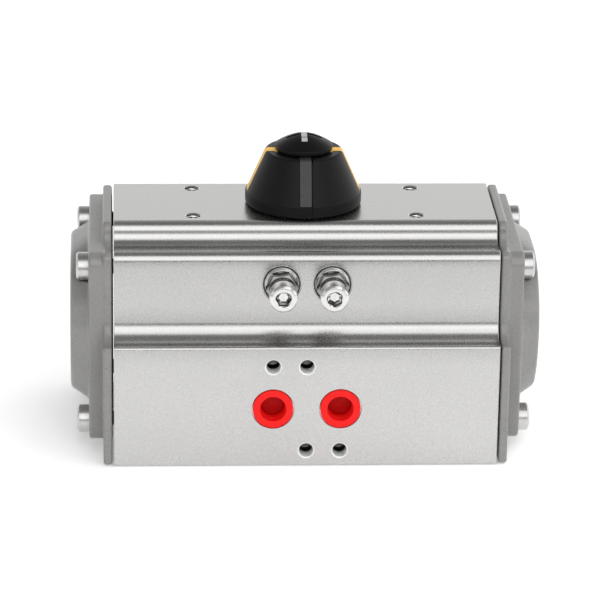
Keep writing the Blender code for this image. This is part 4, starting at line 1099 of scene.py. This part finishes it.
def make_dome():
    """The slotted screw: a crown that falls away faster than a circle, with a stripe across its slot."""
    low, high = extent("indicator_screw")
    apex, wide, above = high.z, high.x, high.z + CLEAR
    foot, side_top, fall, rings = RIM_Z + 0.2, RIM_Z + 1.9, 1.7, 18
    stripe_sink, stripe_end, stripe_half = 0.12, 5.4, 1.05
    slot_half, slot_floor, gap_floor = 0.8, apex - 1.9, apex - 1.4
    gap_near, gap_far = -3, -2.65

    def crown(radius):
        return apex - (apex - side_top) * (abs(radius) / wide) ** fall

    corners = [
        (0, low.z),
        (2.4, low.z, 0.3),
        (2.4, foot),
        (9.2, foot),
        (wide - 0.3, foot, 0.2),
        (wide, foot + 0.3, 0.2),
        (wide, side_top - 0.15, 0.1),
        (wide * 0.99, crown(wide * 0.99)),
    ]
    profile = rounded(corners, closed=False, step=15)
    radii = [wide * 0.97 * (1 - i / rings) for i in range(rings + 1)]
    profile += [(radius, crown(radius)) for radius in radii]
    mesh = as_mesh("indicator_dome", turned(profile, 96), MATERIALS["black"])

    along = [stripe_end * (i / 8 - 1) for i in range(17)]
    stripe = [(y, crown(y) - stripe_sink) for y in along] + [(stripe_end, above), (-stripe_end, above)]
    points, faces = prism(stripe, -stripe_half, stripe_half)
    groove = [(x, y, z) for y, z, x in points], faces
    slots = []
    for end in (-1, 1):
        inner, outer = end * (stripe_half + 0.05), end * (wide + CLEAR)
        corners = [(inner, -slot_half), (outer, -slot_half), (outer, slot_half), (inner, slot_half)]
        slots.append(prism(corners[::end], slot_floor, above))
    gap = [(-stripe_half, gap_near), (stripe_half, gap_near)]
    gap += [(stripe_half, gap_far), (-stripe_half, gap_far)]
    slots.append(prism(gap, gap_floor, above))
    tools = [as_mesh("tool", groove, MATERIALS["stripe"])]
    tools.append(as_mesh("tool", merged(*slots), MATERIALS["black"]))
    mesh = combined(mesh, "DIFFERENCE", *tools)
    shade(mesh)
    finish_piece(placed("indicator_dome", mesh), "drive", "indicator_plastic", "indicator_screw")


# --- CAD nodes that stay as they are ---


INNER_NODES = {
    "rubber": ("end_cap_seal", "piston_oring", "shaft_oring", "adjuster_oring"),
    "bearing": ("piston_wear_ring", "piston_guide_pad", "shaft_bush", "thrust_bearing"),
    "stainless": ("thrust_washer",),
    "plated": ("circlip", "travel_stop_cam", "pinion_shaft"),
    "piston": ("piston_left", "piston_right"),
}


def finish_cad_nodes():
    for name, obj in frame["nodes"].items():
        for material, starts in INNER_NODES.items():
            if name.startswith(starts):
                obj.data.materials.clear()
                obj.data.materials.append(MATERIALS[material])
                shade(obj.data, 30)


# --- studio ---

CAMERA_YAW, CAMERA_PITCH, CAMERA_ROLL = -3.07, 20.7, 0.91
CAMERA_DISTANCE, CAMERA_TARGET, CAMERA_LENS = 1320, (-0.5, 0, 45.7), 216.6
# (elevation in degrees, glow) up each wall. The front wall fades out as a direction's y goes from
# the first of FRONT_FADE to the second, and each side takes its share of the light.
FRONT_WALL = [(-10, 1.0), (6, 0.7), (14, 1.75), (36, 1.75), (46, 0.65), (60, 0.2), (90, 0.2)]
BACK_WALL = [(-10, 1.1), (20, 1.1), (30, 0.5), (60, 0.38), (75, 0.2), (90, 0.2)]
FRONT_FADE = (-0.85, -0.55)
LEFT_SHARE, RIGHT_SHARE = 0.78, 1.22
# Metres, as the lights and both sheets are placed in the scene.
FLOOR_REACH, FLOOR_LEVEL = 4, -0.0002
FLAG_DISTANCE, FLAG_HALF, FLAG_HEIGHT = -0.3, 2, 0.075
LIGHT_AIM = (0, 0, 0.05)


def make_camera():
    yaw, pitch, roll = (math.radians(a) for a in (CAMERA_YAW, CAMERA_PITCH, CAMERA_ROLL))
    level = math.cos(pitch)
    back = Vector((math.sin(yaw) * level, -math.cos(yaw) * level, math.sin(pitch)))
    right = Vector((math.cos(yaw), math.sin(yaw), 0))
    up = back.cross(right)
    turn = Matrix((right, up, back)).transposed().to_4x4() @ Matrix.Rotation(roll, 4, "Z")
    camera = bpy.data.cameras.new("camera")
    camera.lens = CAMERA_LENS
    camera.sensor_width = 36
    camera.clip_end = 20
    obj = linked("camera", camera)
    spot = DRIVE_AXIS + (Vector(CAMERA_TARGET) + back * CAMERA_DISTANCE) * MM
    obj.matrix_world = Matrix.Translation(spot) @ turn
    bpy.context.scene.camera = obj


def make_world():
    """A white studio: bright walls near the floor, a dim ceiling, and a bright band over the front."""
    world = bpy.data.worlds.new("studio")
    bpy.context.scene.world = world
    world.use_nodes = True
    tree = world.node_tree
    coordinates = tree.nodes.new("ShaderNodeTexCoord")
    apart = tree.nodes.new("ShaderNodeSeparateXYZ")
    tree.links.new(coordinates.outputs["Generated"], apart.inputs["Vector"])
    front = mapped(tree, apart.outputs["Y"], *FRONT_FADE)
    upward = mapped(tree, apart.outputs["Z"], -1, 1)
    strength = mapped(tree, apart.outputs["X"], -1, 1, LEFT_SHARE, RIGHT_SHARE)

    def walls(stops):
        places = [(0.5 + 0.5 * math.sin(math.radians(angle)), glow) for angle, glow in stops]
        return ramp(tree, upward, *places)

    mix = tree.nodes.new("ShaderNodeMix")
    mix.data_type = "RGBA"
    tree.links.new(front, mix.inputs["Factor"])
    tree.links.new(walls(FRONT_WALL), mix.inputs["A"])
    tree.links.new(walls(BACK_WALL), mix.inputs["B"])
    background = tree.nodes["Background"]
    tree.links.new(mix.outputs[2], background.inputs["Color"])
    tree.links.new(strength, background.inputs["Strength"])


def staged_sheet(name, corners, material):
    """A flat sheet with one material."""
    mesh = bpy.data.meshes.new(name)
    mesh.from_pydata(corners, [], [(0, 1, 2, 3)])
    mesh.materials.append(material)
    obj = linked(name, mesh)
    return obj


def make_floor():
    reach = FLOOR_REACH
    pale, _ = new_material(
        "pale_floor",
        Base_Color=(0.95, 0.95, 0.95, 1),
        Roughness=0.9,
        Specular_IOR_Level=0.1,
        Emission_Color=(1, 1, 1, 1),
        Emission_Strength=0.25,
    )
    corners = [(-reach, -reach), (reach, -reach), (reach, reach), (-reach, reach)]
    staged_sheet("floor", [(x, y, FLOOR_LEVEL) for x, y in corners], pale)


def make_flag():
    """A dark card just in front, seen only in the gloss of the faces that lean to it."""
    half, top = FLAG_HALF, FLAG_HEIGHT
    dark, _ = new_material("flag_card", Base_Color=(0.2, 0.2, 0.2, 1), Roughness=1)
    card = staged_sheet("flag", [(-half, 0, 0), (half, 0, 0), (half, 0, top), (-half, 0, top)], dark)
    card.location = (0, FLAG_DISTANCE, 0)
    card.visible_camera = False
    card.visible_diffuse = False
    card.visible_shadow = False


def area_light(name, size, spot, energy, glossy=True):
    light = bpy.data.lights.new(name, "AREA")
    light.shape = "RECTANGLE"
    light.size, light.size_y = size
    light.energy = energy
    obj = linked(name, light)
    obj.location = spot
    heading = Vector(LIGHT_AIM) - Vector(spot)
    obj.rotation_euler = heading.to_track_quat("-Z", "Y").to_euler()
    obj.visible_glossy = glossy


def make_studio():
    make_floor()
    area_light("front_softbox", (2.2, 0.7), (0.3, -1.0, 1.4), 5)
    area_light("overhead_fill", (3, 3), (0.7, 0, 2.4), 32, glossy=False)
    make_world()
    make_flag()
    make_camera()
    view = bpy.context.scene.view_settings
    view.view_transform = "Standard"
    view.look = "None"


make_body()
make_end_caps()
make_cap_screws()
make_adjusters()
make_plugs()
make_indicator()
make_dome()
finish_cad_nodes()
make_studio()
